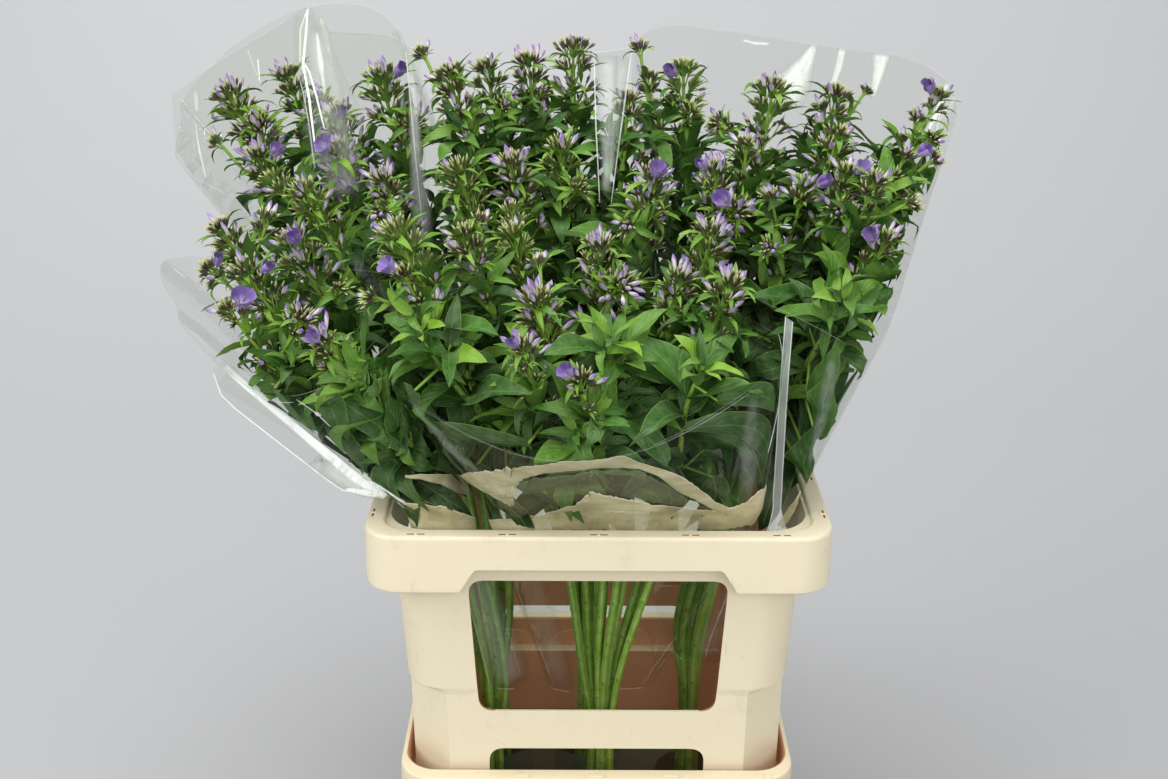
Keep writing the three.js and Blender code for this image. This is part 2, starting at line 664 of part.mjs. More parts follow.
// A leafy stem in one skin: a four-sided tube whose opposite faces are drawn out into arched
// blades at each leaf node. A blade is folded a little along its midrib, where it is thickest.
function leafyStem(curve, nodes) {
  const total = curve.getLength();
  const levels = [0, 0.45].map((u) => ({ u }));
  for (const node of nodes) {
    levels.push({ u: node.u - LEAF_FOOT / total, node }, { u: node.u, upper: node });
  }
  levels.push({ u: 1 });
  levels.sort((m, n) => m.u - n.u);
  const firstTurn = nodes.length ? nodes.at(-1).azimuth : 0;
  let azimuth = firstTurn;
  const points = [];
  const index = [];
  const add = (p) => points.push(p.toArray()) - 1;
  const rings = levels.map(({ u, node, upper }) => {
    const turned = (node || upper || { azimuth }).azimuth;
    azimuth = turned;
    const centre = curve.getPointAt(u);
    const along = curve.getTangentAt(u);
    const side = new THREE.Vector3(Math.cos(azimuth), Math.sin(azimuth), 0);
    side.addScaledVector(along, -side.dot(along)).normalize();
    const across = along.clone().cross(side);
    const corners = [[1, -1], [1, 1], [-1, 1], [-1, -1]].map(([m, n]) => centre.clone()
      .addScaledVector(side, m * STEM_RADIUS * 0.8).addScaledVector(across, n * STEM_RADIUS * 0.8));
    return { ids: corners.map(add), along, across };
  });
  const quad = (p, q, r, t) => index.push(p, q, r, p, r, t);
  const [first, last] = [rings[0].ids, rings.at(-1).ids];
  quad(first[3], first[2], first[1], first[0]);
  quad(last[0], last[1], last[2], last[3]);
  for (let r = 0; r + 1 < rings.length; r++) {
    const low = rings[r].ids;
    const high = rings[r + 1].ids;
    const leaves = levels[r].node && levels[r].node.midribs;
    for (let k = 0; k < 4; k++) {
      const next = (k + 1) % 4;
      if (!leaves || k % 2) quad(low[k], low[next], high[next], high[k]);
      else {
        const hand = k === 0 ? 1 : -1;
        let loop = [low[k], low[next], high[next], high[k]];
        let square = true;
        for (const { point, half } of leaves[k / 2]) {
          const shift = (up, wide) => point.clone().addScaledVector(rings[r].along, up)
            .addScaledVector(rings[r].across, wide);
          if (half === 0) {
            const tip = add(point);
            loop.forEach((id, j) => index.push(id, loop[(j + 1) % 4], tip));
          } else {
            const fold = 0.2 * half;
            const next4 = [shift(-0.8, 0), shift(fold, hand * half), shift(0.6, 0),
              shift(fold, -hand * half)].map(add);
            loop.forEach((id, j) => {
              const m = (j + 1) % 4;
              if (square) index.push(id, loop[m], next4[j], loop[m], next4[m], next4[j]);
              else quad(id, loop[m], next4[m], next4[j]);
            });
            loop = next4;
            square = false;
          }
        }
      }
    }
  }
  const geometry = new THREE.BufferGeometry();
  geometry.setAttribute("position", new THREE.Float32BufferAttribute(points.flat(), 3));
  geometry.setIndex(index);
  return solid(geometry);
}

// How many of a leaf pair's probe points come too near another stem or a cluster of buds.
function crossings(probes, node, lines, clusters) {
  const segment = new THREE.Line3();
  const nearest = new THREE.Vector3();
  let count = 0;
  for (const end of probes) {
    for (const part of [0.5, 1]) {
      const p = node.clone().lerp(end, part);
      for (const line of lines) {
        for (let i = 0; i + 1 < line.length; i++) {
          segment.set(line[i], line[i + 1]).closestPointToPoint(p, true, nearest);
          if (nearest.distanceTo(p) < ROOM_ROUND_LEAF) count += 1;
        }
      }
      for (const [x, y, z, radius] of clusters) {
        if (Math.hypot(p.x - x, p.y - y, p.z - z) < 1.25 * radius + ROOM_ROUND_LEAF) count += 1;
      }
    }
  }
  return count;
}

// A pair of leaves turned to the side where it crosses least, and shorter where all are full.
function fittedPair(node, along, start, pair, lines, clusters) {
  let best = null;
  for (const shrink of [1, 0.7]) {
    const tried = { ...pair, length: pair.length * shrink, width: pair.width * shrink };
    for (let turn = 0; turn < TURNS; turn++) {
      const azimuth = start + (turn * Math.PI) / TURNS;
      const midribs = leafMidribs(node, along, azimuth, tried);
      const probes = midribs.flat().map(({ point }) => point);
      const count = crossings(probes, node, lines, clusters);
      if (!best || count < best.count) best = { azimuth, midribs, count };
    }
    if (best.count === 0) break;
  }
  return best.count <= MOST_CROSSINGS ? best : null;
}

const allClusters = BUNCHES.flatMap((bunch) => bunch.heads.flat());

function makeBunch(bunch, keepClear) {
  const curves = stemCurves(bunch);
  const lines = curves.map(({ curve }) => curve.getSpacedPoints(8));
  const solids = [bundle(bunch, 9)];
  const placed = [];
  curves.forEach(({ curve, pairs }, number) => {
    const others = [...lines.filter((line, i) => i !== number), ...placed];
    const total = curve.getLength();
    const nodes = [];
    pairs.forEach((pair, i) => {
      const u = 1 - pair.below / total;
      const node = curve.getPointAt(u);
      const along = curve.getTangentAt(u);
      const size = 0.9 + 0.2 * draw(number, 7 + i);
      const sized = { ...pair, length: pair.length * size, width: pair.width * size };
      const start = Math.PI * draw(number, bunch.foot[0]) + (i * Math.PI) / 2;
      const fitted = fittedPair(node, along, start, sized, others, allClusters);
      if (!fitted) return;
      nodes.push({ u, ...fitted });
      for (const midrib of fitted.midribs) placed.push([node, ...midrib.map((m) => m.point)]);
    });
    solids.push(leafyStem(curve, nodes));
  });
  bunch.shoots.forEach((cluster, i) => {
    const foot = curves[bunch.heads.length + i].curve.getPointAt(0.96);
    solids.push(clusterOnStalk(cluster, foot, BRANCH_RADIUS, 5 + 10 * i));
  });
  const made = join(solids).intersect(sleeveRoom(bunch)).subtract(keepClear);
  return geometryOf(largest(made).simplify(SMALLEST));
}

// ---------------------------------------------------------------- the object

function finish(color, roughness, opacity) {
  const clear = opacity !== undefined;
  const settings = { color, roughness, metalness: 0, transparent: clear };
  if (clear) settings.opacity = opacity;
  return new THREE.MeshStandardMaterial(settings);
}

const root = new THREE.Group();

function addPiece(name, geometry, material) {
  const mesh = new THREE.Mesh(geometry, material);
  mesh.name = name;
  root.add(mesh);
}

addPiece("collar", makeCollar(), finish(0xe9dfc4, 0.5));
addPiece("bucket", makeBucket(), finish(0xe6d8b8, 0.5));
addPiece("water", makeWater(), finish(0xb8c8c0, 0.05, 0.4));
addPiece("blank_label", makeLabel(), finish(0xf4f4f2, 0.8));

const headRooms = [];
for (const bunch of BUNCHES) {
  for (const clusters of bunch.heads) {
    const number = headRooms.length + 1;
    const name = "flower_head_" + String(number).padStart(2, "0");
    addPiece(name, geometryOf(headSolid(bunch, clusters, number)), finish(0x7d6a94, 0.6));
    headRooms.push(headRoom(bunch, clusters));
  }
}
const keepClear = join(headRooms);

for (const bunch of BUNCHES) {
  addPiece("leafy_stems_" + bunch.name, makeBunch(bunch, keepClear), finish(0x4e8a3a, 0.6));
  addPiece("sleeve_" + bunch.name, makeSleeve(bunch), finish(0xf2f6f5, 0.1, 0.25));
}

export default root;
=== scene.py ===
# %% [markdown]
# A florist's bucket of cut garden phlox, still in bud. Five bunches stand in it, each in a sleeve
# of clear film. The lesson goes from the camera and the light to the plastic, then up the stems
# to the leaves and the flower heads, and ends with the film, which everything else shows through.

# %% The frame and the tools
import math

import bmesh
import bpy
import numpy as np
from mathutils import Matrix, Vector


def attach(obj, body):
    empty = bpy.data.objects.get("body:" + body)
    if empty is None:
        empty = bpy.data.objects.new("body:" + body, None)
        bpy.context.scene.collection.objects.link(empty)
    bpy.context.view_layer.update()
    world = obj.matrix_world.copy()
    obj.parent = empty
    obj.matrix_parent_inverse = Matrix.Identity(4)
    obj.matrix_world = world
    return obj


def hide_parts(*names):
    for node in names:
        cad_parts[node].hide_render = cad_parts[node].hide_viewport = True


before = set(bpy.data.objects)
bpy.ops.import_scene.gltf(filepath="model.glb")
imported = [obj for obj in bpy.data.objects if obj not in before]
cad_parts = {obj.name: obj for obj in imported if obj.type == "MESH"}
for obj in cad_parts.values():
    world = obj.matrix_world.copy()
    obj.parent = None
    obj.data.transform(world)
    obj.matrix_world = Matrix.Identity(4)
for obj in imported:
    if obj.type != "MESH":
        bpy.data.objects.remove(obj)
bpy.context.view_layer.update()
scene = bpy.context.scene
MM = 0.001
QUARTER = math.pi / 2


def link(name, data):
    """A new object with this data, in the scene."""
    made = bpy.data.objects.new(name, data)
    scene.collection.objects.link(made)
    return made


print("nodes in the frame:", len(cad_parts))

# %% [markdown]
# The camera stands a little above the flowers and looks down on them. Its place is a driving
# value in metres, and its lens is worked out from a focal length that is given in pixels.

# %% Camera
IMAGE_WIDTH = 1168
FOCAL_PIXELS = 1467.6
SENSOR_MM = 36.0
CAMERA_PLACE = (-0.0150, -1.2572, 1.0124)
CAMERA_TURN = -0.0017
CAMERA_DOWN = 0.375
CAMERA_ROLL = 0.0046


def make_camera():
    """A camera that looks along +Y, tipped down, with a hint of roll."""
    lens = bpy.data.cameras.new("camera")
    lens.sensor_width = SENSOR_MM
    lens.lens = FOCAL_PIXELS * SENSOR_MM / IMAGE_WIDTH
    camera = link("camera", lens)
    turn = Matrix.Rotation(CAMERA_TURN, 4, "Z")
    tip = Matrix.Rotation(QUARTER - CAMERA_DOWN, 4, "X")
    roll = Matrix.Rotation(CAMERA_ROLL, 4, "Z")
    camera.matrix_world = Matrix.Translation(CAMERA_PLACE) @ turn @ tip @ roll
    scene.camera = camera
    return camera


camera = make_camera()
print("lens in mm:", round(camera.data.lens, 2))

# %% [markdown]
# A studio cove has no corner between the floor and the wall: the floor rises in a wide
# curve behind the bucket. The light is a soft ceiling, a big soft panel on each side, and narrow
# strips, whose only task is to draw the bright lines that show where the clear film is.

# %% Floor
FLOOR_GREY = (0.383, 0.385, 0.392)
FLOOR_REACH = 6.0
COVE_START = 1.2
COVE_RADIUS = 2.2
COVE_STEPS = 13


def make_floor():
    """A floor that curves up into a wall behind the object."""
    bend = [(COVE_START + COVE_RADIUS * math.sin(a), COVE_RADIUS * (1 - math.cos(a)))
            for a in np.linspace(0, QUARTER, COVE_STEPS)]
    profile = [(-FLOOR_REACH, 0.0), *bend, (COVE_START + COVE_RADIUS, FLOOR_REACH)]
    points = [(x, y, z) for y, z in profile for x in (-FLOOR_REACH, FLOOR_REACH)]
    faces = [(2 * i, 2 * i + 1, 2 * i + 3, 2 * i + 2) for i in range(len(profile) - 1)]
    mesh = bpy.data.meshes.new("floor")
    mesh.from_pydata(points, [], faces)
    mesh.polygons.foreach_set("use_smooth", [True] * len(faces))
    floor = link("floor", mesh)
    material = bpy.data.materials.new("studio_floor")
    material.use_nodes = True
    surface = material.node_tree.nodes["Principled BSDF"]
    surface.inputs["Base Color"].default_value = (*FLOOR_GREY, 1)
    surface.inputs["Roughness"].default_value = 0.9
    surface.inputs["Specular IOR Level"].default_value = 0.1
    mesh.materials.append(material)
    return floor


print("faces in the floor:", len(make_floor().data.polygons))

# %% [markdown]
# The lamps are soft panels in metres, each with its place, the point that it faces, its size and
# its power in watts. Two of them face the wall and not the object, so that the wall stays even.

# %% Light
SKY_GREY = (0.97, 0.985, 1.0)
SKY_STRENGTH = 0.38
AIM = (0.0, 0.0, 0.55)
LAMPS = {
    "ceiling": ((-0.3, -0.5, 4.0), AIM, (3.0, 2.4), 116),
    "left_panel": ((-2.6, -1.4, 2.0), AIM, (1.2, 1.8), 34),
    "right_panel": ((2.6, -1.6, 1.8), AIM, (1.2, 1.8), 12),
    "front_panel": ((0.3, -3.2, 1.9), AIM, (2.2, 1.2), 35),
    "left_wall_panel": ((-1.3, 1.4, 2.8), (-1.2, 3.4, 0.9), (1.6, 1.0), 44),
    "right_wall_panel": ((1.5, 1.4, 2.8), (1.4, 3.4, 0.9), (1.6, 1.0), 33),
    "left_strip": ((-1.5, -1.5, 1.6), AIM, (0.05, 1.5), 5),
    "right_strip": ((1.1, -1.9, 1.7), AIM, (0.05, 1.5), 4),
}


def add_lamp(name, place, aim, size, power):
    """A flat rectangular lamp that faces the point aim."""
    lamp = bpy.data.lights.new(name, "AREA")
    lamp.shape = "RECTANGLE"
    lamp.size, lamp.size_y = size
    lamp.energy = power
    panel = link(name, lamp)
    panel.location = place
    panel.rotation_euler = (Vector(aim) - Vector(place)).to_track_quat("-Z", "Y").to_euler()


def make_sky():
    """An even grey sky that fills the shadows."""
    world = bpy.data.worlds.new("studio")
    scene.world = world
    world.use_nodes = True
    sky = world.node_tree.nodes["Background"]
    sky.inputs["Color"].default_value = (*SKY_GREY, 1)
    sky.inputs["Strength"].default_value = SKY_STRENGTH


for name, values in LAMPS.items():
    add_lamp(name, *values)
make_sky()
scene.view_settings.view_transform = "Standard"
print("lamps:", len(LAMPS))

# %% [markdown]
# Nothing that grows is quite even, so most sizes and angles vary by chance. Each chance number is
# worked out from two numbers of its own, so that the plant comes out the same every time.

# %% Chance and direction
def draw(index, salt):
    """A number from 0 to 1 that is always the same for the same two numbers."""
    s = np.sin(np.asarray(index, float) * 12.9898 + salt * 78.233) * 43758.5453
    return s - np.floor(s)


def unit(v):
    """The vectors in the last axis, made one long."""
    return v / np.maximum(np.linalg.norm(v, axis=-1, keepdims=True), 1e-12)


def sideways(way, helper):
    """Two directions that are square to way and to each other. The helper isn't along way."""
    side = unit(np.cross(way, helper))
    return side, np.cross(way, side)


def between(at, marks, rows):
    """The rows at the places at, where each row of the list stands at its own mark."""
    rows = np.asarray(rows, float)
    return np.stack([np.interp(at, marks, column) for column in rows.T], -1)


print("two draws:", draw(1, 2).round(3), draw(2, 2).round(3))

# %% [markdown]
# Everything that grows here repeats: buds, calyx teeth, leaves, stems. Each is a small grid of
# points that is bent by a formula, and thousands of them go into one mesh. numpy bends them all
# at once, which takes a second, where adding them one by one would take minutes.

# %% A mesh from many bent grids
class Skin:
    """The grids of one piece. Each point has a place on its grid and a tint of four numbers."""

    def __init__(self, *materials):
        self.materials = materials
        self.points, self.places, self.tints, self.faces, self.slots = [], [], [], [], []
        self.count = 0

    def add(self, grids, tints, material):
        """grids is (how many, rows, columns, 3) in metres. tints holds up to four numbers for each
        grid or for each point, and the rest are 0."""
        many, rows, columns, _ = grids.shape
        across, along = np.meshgrid(np.linspace(0, 1, columns), np.linspace(0, 1, rows))
        place = np.broadcast_to(np.stack([across, along], -1), (many, rows, columns, 2))
        tints = np.asarray(tints, float)
        if tints.ndim == 2:
            tints = tints[:, None, None, :]
        tint = np.zeros((many, rows, columns, 4))
        tint[..., :tints.shape[-1]] = tints
        ids = np.arange(rows * columns).reshape(rows, columns)
        face = np.stack([ids[:-1, :-1], ids[:-1, 1:], ids[1:, 1:], ids[1:, :-1]], -1).reshape(-1, 4)
        starts = self.count + np.arange(many) * rows * columns
        self.faces.append((face[None] + starts[:, None, None]).reshape(-1, 4))
        self.slots.append(np.full(len(self.faces[-1]), self.materials.index(material)))
        self.points.append(grids.reshape(-1, 3))
        self.places.append(place.reshape(-1, 2))
        self.tints.append(tint.reshape(-1, 4))
        self.count += many * rows * columns

    def add_pipe(self, path, radii, sides, tint, material):
        """A round tube along a path in millimetres."""
        self.add(pipe(path * MM, np.asarray(radii) * MM, sides)[None], [tint], material)

    def piece(self, name, cad_nodes, slot):
        """The piece as an object that rides on the root and stands for its CAD nodes."""
        points = np.concatenate(self.points)
        faces = np.concatenate(self.faces)
        mesh = bpy.data.meshes.new(name)
        mesh.vertices.add(len(points))
        mesh.vertices.foreach_set("co", points.ravel())
        mesh.loops.add(faces.size)
        mesh.loops.foreach_set("vertex_index", faces.ravel().astype(np.int32))
        mesh.polygons.add(len(faces))
        mesh.polygons.foreach_set("loop_start", np.arange(0, faces.size, 4, dtype=np.int32))
        mesh.polygons.foreach_set("loop_total", np.full(len(faces), 4, np.int32))
        mesh.polygons.foreach_set("material_index", np.concatenate(self.slots).astype(np.int32))
        mesh.polygons.foreach_set("use_smooth", np.ones(len(faces), bool))
        mesh.update(calc_edges=True)
        layer = mesh.uv_layers.new(name="place")
        layer.data.foreach_set("uv", np.concatenate(self.places)[faces.ravel()].ravel())
        tint = mesh.color_attributes.new("tint", "FLOAT_COLOR", "POINT")
        tint.data.foreach_set("color", np.concatenate(self.tints).ravel())
        for material in self.materials:
            mesh.materials.append(material)
        return stand_in(name, mesh, cad_nodes)


def stand_in(name, mesh, cad_nodes):
    """Links a mesh as a piece of the object."""
    thing = link(name, mesh)
    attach(thing, "root")
    if cad_nodes:
        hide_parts(*cad_nodes)
    return thing


print("points in a new skin:", Skin().count)

# %% [markdown]
# A curve through a few points is the spine of every stem and sleeve. This is the same centripetal
# curve that the solids use, so that a finely modelled stem lies inside its plain solid.

# %% Curves
def smooth_path(points, count):
    """count points at equal steps along the centripetal curve through points."""
    p = np.asarray(points, float)
    p = np.vstack([2 * p[0] - p[1], p, 2 * p[-1] - p[-2]])
    fine = []
    for i in range(1, len(p) - 2):
        a, b, c = (np.linalg.norm(p[i + k] - p[i + k - 1]) ** 0.5 for k in range(3))
        leave = ((p[i] - p[i - 1]) / a - (p[i + 1] - p[i - 1]) / (a + b) + (p[i + 1] - p[i]) / b) * b
        reach = ((p[i + 1] - p[i]) / b - (p[i + 2] - p[i]) / (b + c) + (p[i + 2] - p[i + 1]) / c) * b
        t = np.linspace(0, 1, 24, endpoint=i == len(p) - 3)[:, None]
        cubic = 2 * p[i] - 2 * p[i + 1] + leave + reach
        square = -3 * p[i] + 3 * p[i + 1] - 2 * leave - reach
        fine.append(p[i] + leave * t + square * t ** 2 + cubic * t ** 3)
    fine = np.vstack(fine)
    far = np.concatenate([[0], np.cumsum(np.linalg.norm(np.diff(fine, axis=0), axis=1))])
    at = np.linspace(0, far[-1], count)
    return between(at, far, fine)


def pipe(path, radii, sides):
    """The grid of a round tube along a path."""
    side, across = sideways(unit(np.gradient(path, axis=0)), [0.31, 0.95, 0.05])
    angle = np.linspace(0, 2 * math.pi, sides + 1)[None, :, None]
    round_it = np.cos(angle) * side[:, None] + np.sin(angle) * across[:, None]
    return path[:, None] + np.asarray(radii)[:, None, None] * round_it


print("a curve of", len(smooth_path([(0, 0, 0), (0, 0, 1), (1, 0, 2)], 9)), "points")

# %% [markdown]
# A material is a tree of shader nodes. This class adds and joins them in short steps, so that a
# material below reads like a sum. Most steps give back the socket where their result comes out.

# %% Short ways to build a shader
class Graph:
    """Short ways to add and join the nodes of one tree."""

    def __init__(self, tree):
        self.tree = tree
        self.surface = tree.nodes.get("Principled BSDF")

    def node(self, kind, **settings):
        made = self.tree.nodes.new("ShaderNode" + kind)
        for key, value in settings.items():
            setattr(made, key, value)
        return made

    def join(self, source, target):
        """Joins a socket, or writes a plain value, into the target socket."""
        if isinstance(source, bpy.types.NodeSocket):
            self.tree.links.new(source, target)
        else:
            target.default_value = source

    def maths(self, operation, a, b=0.0, clamp=False):
        made = self.node("Math", operation=operation, use_clamp=clamp)
        self.join(a, made.inputs[0])
        self.join(b, made.inputs[1])
        return made.outputs[0]

    def plus(self, a, b, clamp=False):
        return self.maths("ADD", a, b, clamp)

    def minus(self, a, b, clamp=False):
        return self.maths("SUBTRACT", a, b, clamp)

    def times(self, a, b, clamp=False):
        return self.maths("MULTIPLY", a, b, clamp)

    def off(self, a, b):
        """How far a is from b, either way."""
        return self.maths("ABSOLUTE", self.minus(a, b))

    def where(self):
        """The point's own place on the object, in metres."""
        return self.node("TexCoord").outputs["Object"]

    def wear(self, **values):
        """Joins values to the surface's sockets. A low line in a name stands for a space."""
        for label, value in values.items():
            self.join(value, self.surface.inputs[label.replace("_", " ")])

    def blend(self, share, a, b):
        """Colour a turned into colour b by share."""
        made = self.node("Mix", data_type="RGBA")
        self.join(share, made.inputs[0])
        self.join(a, made.inputs[6])
        self.join(b, made.inputs[7])
        return made.outputs[2]

    def noise(self, where, scale, detail=3.0, rough=0.55, stretch=None):
        """Noise from 0 to 1 at the points where."""
        if stretch:
            squeeze = self.node("Mapping")
            squeeze.inputs["Scale"].default_value = stretch
            self.join(where, squeeze.inputs["Vector"])
            where = squeeze.outputs[0]
        made = self.node("TexNoise")
        self.join(where, made.inputs["Vector"])
        self.join(scale, made.inputs["Scale"])
        made.inputs["Detail"].default_value = detail
        made.inputs["Roughness"].default_value = rough
        return made.outputs["Fac"]

    def ramp(self, value, low, high):
        """0 below low, 1 above high, and smooth between them."""
        made = self.node("MapRange", interpolation_type="SMOOTHSTEP")
        self.join(value, made.inputs["Value"])
        self.join(low, made.inputs["From Min"])
        self.join(high, made.inputs["From Max"])
        return made.outputs["Result"]

    def bump(self, height, strength, distance):
        made = self.node("Bump")
        made.inputs["Strength"].default_value = strength
        made.inputs["Distance"].default_value = distance
        self.join(height, made.inputs["Height"])
        return made.outputs["Normal"]


print("steps:", *[name for name in vars(Graph) if not name.startswith("_")])

# %% [markdown]
# The materials share two effects. Grime gathers where a bucket is handled and scraped, and plant
# skin is never one even green. Each effect is a node group with named inputs, so that every
# material can use it with its own values.

# %% Shared shader effects
def new_group(name, **inputs):
    """An empty shader group with these inputs, and with a colour and a mask to give back."""
    group = bpy.data.node_groups.new(name, "ShaderNodeTree")
    for label, default in inputs.items():
        kind = "NodeSocketColor" if isinstance(default, tuple) else "NodeSocketFloat"
        socket = group.interface.new_socket(label, in_out="INPUT", socket_type=kind)
        socket.default_value = default
    group.interface.new_socket("Color", in_out="OUTPUT", socket_type="NodeSocketColor")
    group.interface.new_socket("Mask", in_out="OUTPUT", socket_type="NodeSocketFloat")
    return Graph(group), group.nodes.new("NodeGroupInput"), group.nodes.new("NodeGroupOutput")


def make_grime():
    """Grime: soft stains and fine scratches over a plastic colour."""
    g, inside, outside = new_group("grime", Color=(1, 1, 1, 1), Dirt=(0.2, 0.15, 0.1, 1), Amount=0.2)
    where = g.where()
    stain = g.ramp(g.noise(where, 34.0, 5.0, 0.65), 0.56, 0.80)
    spots = g.ramp(g.noise(where, 210.0, 2.0, 0.5), 0.70, 0.78)
    line = g.noise(where, 90.0, 3.0, 0.6, stretch=(1.0, 1.0, 0.12))
    scratch = g.ramp(line, 0.66, 0.74)
    mask = g.plus(g.times(stain, 0.5), g.times(scratch, 0.55))
    mask = g.plus(mask, g.times(spots, 0.5))
    mask = g.times(mask, inside.outputs["Amount"], clamp=True)
    g.join(g.blend(mask, inside.outputs["Color"], inside.outputs["Dirt"]), outside.inputs["Color"])
    g.join(mask, outside.inputs["Mask"])
    return g.tree


def make_mottle():
    """Mottle: a plant colour that turns lighter and darker in soft patches."""
    g, inside, outside = new_group("mottle", Color=(1, 1, 1, 1), Scale=60.0, Amount=0.3)
    patch = g.noise(g.where(), inside.outputs["Scale"], 4.0, 0.6)
    dark = g.blend(0.62, inside.outputs["Color"], (0.0, 0.0, 0.0, 1))
    light = g.blend(0.28, inside.outputs["Color"], (1.0, 1.0, 0.75, 1))
    turned = g.blend(g.ramp(patch, 0.25, 0.75), dark, light)
    g.join(g.blend(inside.outputs["Amount"], inside.outputs["Color"], turned), outside.inputs["Color"])
    g.join(patch, outside.inputs["Mask"])
    return g.tree


GRIME = make_grime()
MOTTLE = make_mottle()
print("shared effects:", GRIME.name, MOTTLE.name)

# %% [markdown]
# A new material starts as a plain Principled surface. A helper places a shared effect in it and
# gives back the effect's outputs.

# %% Starting a material
def new_material(name, roughness, specular=0.5):
    """A material and its graph."""
    material = bpy.data.materials.new(name)
    material.use_nodes = True
    g = Graph(material.node_tree)
    g.wear(Roughness=roughness, Specular_IOR_Level=specular)
    return material, g


def effect(g, group, **values):
    """Places a shared effect and fills its inputs."""
    placed = g.node("Group", node_tree=group)
    for label, value in values.items():
        g.join(value, placed.inputs[label])
    return placed.outputs


def tint_of(g):
    """The four numbers that each plant part carries, as separate values."""
    stored = g.node("Attribute", attribute_name="tint")
    split = g.node("SeparateColor")
    g.join(stored.outputs["Color"], split.inputs[0])
    return split.outputs[0], split.outputs[1], split.outputs[2], stored.outputs["Alpha"]


def place_of(g):
    """How far across and how far along its own grid a point lies, from 0 to 1."""
    split = g.node("SeparateXYZ")
    g.join(g.node("UVMap", uv_map="place").outputs[0], split.inputs[0])
    return split.outputs[0], split.outputs[1]


def plastic(name, color, dirt, amount, roughness):
    """Moulded plastic that has seen many trips: stained, scratched, faintly rough."""
    material, g = new_material(name, roughness, 0.4)
    grime = effect(g, GRIME, Color=(*color, 1), Dirt=(*dirt, 1), Amount=amount)
    rough = g.plus(g.times(grime["Mask"], 0.3), roughness, clamp=True)
    grain = g.bump(g.noise(g.where(), 900.0, 2.0), 0.12, 0.0002)
    g.wear(Base_Color=grime["Color"], Roughness=rough, Normal=grain)
    return material


CREAM = plastic("cream_collar_plastic", (0.83, 0.74, 0.53), (0.30, 0.21, 0.12), 0.32, 0.42)
TAN = plastic("bucket_plastic", (0.80, 0.70, 0.49), (0.22, 0.15, 0.09), 0.45, 0.45)
# The inside's reddish brown and its faint glow are painted shade and painted bounced light.
INSIDE_PAINTED_SHADE = plastic("inside_painted_shade_and_glow", (0.46, 0.245, 0.135), (0.12, 0.06, 0.03), 0.5, 0.6)
Graph(INSIDE_PAINTED_SHADE.node_tree).wear(Emission_Color=(1.0, 0.42, 0.2, 1), Emission_Strength=0.05)
# The slots' dark brown is painted shadow between the rim's low bumps, with grime over it.
SLOT_PAINTED_SHADE = plastic("slot_painted_shade", (0.16, 0.08, 0.045), (0.03, 0.02, 0.015), 0.8, 0.8)
print("plastics:", CREAM.name, TAN.name, SLOT_PAINTED_SHADE.name)

# %% [markdown]
# The collar is injection moulded. A section with a folded-down rim is carried round a rounded
# rectangle, the windows and the foot's cut-outs are cut through it, and a small bevel breaks every
# edge, as the mould does. The profile is the solid's own, with more points in its roundings.

# %% Rings of the collar and bucket
CORNER_STEPS = 10
COLLAR_TOP = 448.0
COLLAR_FOOT = 165.3
RIM_HALF = (200.0, 161.5)
SKIRT = 394.0
STEP = 279.0
NOTCH_TOP = 417.0
BUCKET_RIM = 198.0
SHARP_DEGREES = 32


def level(half_x, half_y, corner, z, chamfered=False):
    """A rounded rectangle, or one with straight chamfers, as a closed ring in millimetres."""
    ring = []
    for sx, sy, start in ((1, -1, -90), (1, 1, 0), (-1, 1, 90), (-1, -1, 180)):
        for i in range(CORNER_STEPS + 1):
            part = i / CORNER_STEPS
            angle = math.radians(start + 90 * part)
            a = math.radians(start)
            if chamfered:
                dx = math.cos(a) * (1 - part) - math.sin(a) * part
                dy = math.sin(a) * (1 - part) + math.cos(a) * part
            else:
                dx, dy = math.cos(angle), math.sin(angle)
            ring.append((sx * (half_x - corner) + corner * dx, sy * (half_y - corner) + corner * dy, z))
    return ring


def mesh_of(name, made):
    """The mesh that was made in a bmesh."""
    mesh = bpy.data.meshes.new(name)
    made.to_mesh(mesh)
    made.free()
    return mesh


def ring_mesh(name, rings, closed):
    """A solid through rings, joined end to start or capped at both ends."""
    made = bmesh.new()
    rows = [[made.verts.new([value * MM for value in p]) for p in ring] for ring in rings]
    last = len(rows) if closed else len(rows) - 1
    for r in range(last):
        low, high = rows[r], rows[(r + 1) % len(rows)]
        for i in range(len(low)):
            j = (i + 1) % len(low)
            made.faces.new((low[i], low[j], high[j], high[i]))
    if not closed:
        made.faces.new(rows[0][::-1])
        made.faces.new(rows[-1])
    bmesh.ops.recalc_face_normals(made, faces=made.faces)
    return mesh_of(name, made)


print("points in a ring:", len(level(10, 10, 2, 0)))

# %% [markdown]
# A window is cut with a block whose outline has rounded corners. The block is made facing the
# front and then turned to its side of the collar.

# %% Cutting windows
def rounded_outline(corners, radius, steps=6):
    """A closed outline whose corners are turned into arcs of about radius."""
    points = []
    count = len(corners)
    for i, here in enumerate(corners):
        here = np.array(here, float)
        enter = here + radius * unit(np.array(corners[i - 1], float) - here)
        leave = here + radius * unit(np.array(corners[(i + 1) % count], float) - here)
        for k in range(steps + 1):
            t = k / steps
            points.append((1 - t) ** 2 * enter + 2 * t * (1 - t) * here + t * t * leave)
    return points


def prism(outline, near, far, quarters):
    """A block with the outline in the X-Z plane, from y near to y far, turned about Z."""
    made = bmesh.new()
    ends = [[made.verts.new(Vector((x, y, z)) * MM) for x, z in outline] for y in (near, far)]
    count = len(outline)
    for i in range(count):
        j = (i + 1) % count
        made.faces.new((ends[0][i], ends[0][j], ends[1][j], ends[1][i]))
    made.faces.new(ends[0][::-1])
    made.faces.new(ends[1])
    bmesh.ops.recalc_face_normals(made, faces=made.faces)
    bmesh.ops.rotate(made, verts=made.verts, matrix=Matrix.Rotation(quarters * QUARTER, 3, "Z"))
    return link("cut", mesh_of("cut", made))


print("points in a window's outline:", len(rounded_outline([(0, 0), (9, 0), (9, 9), (0, 9)], 1)))
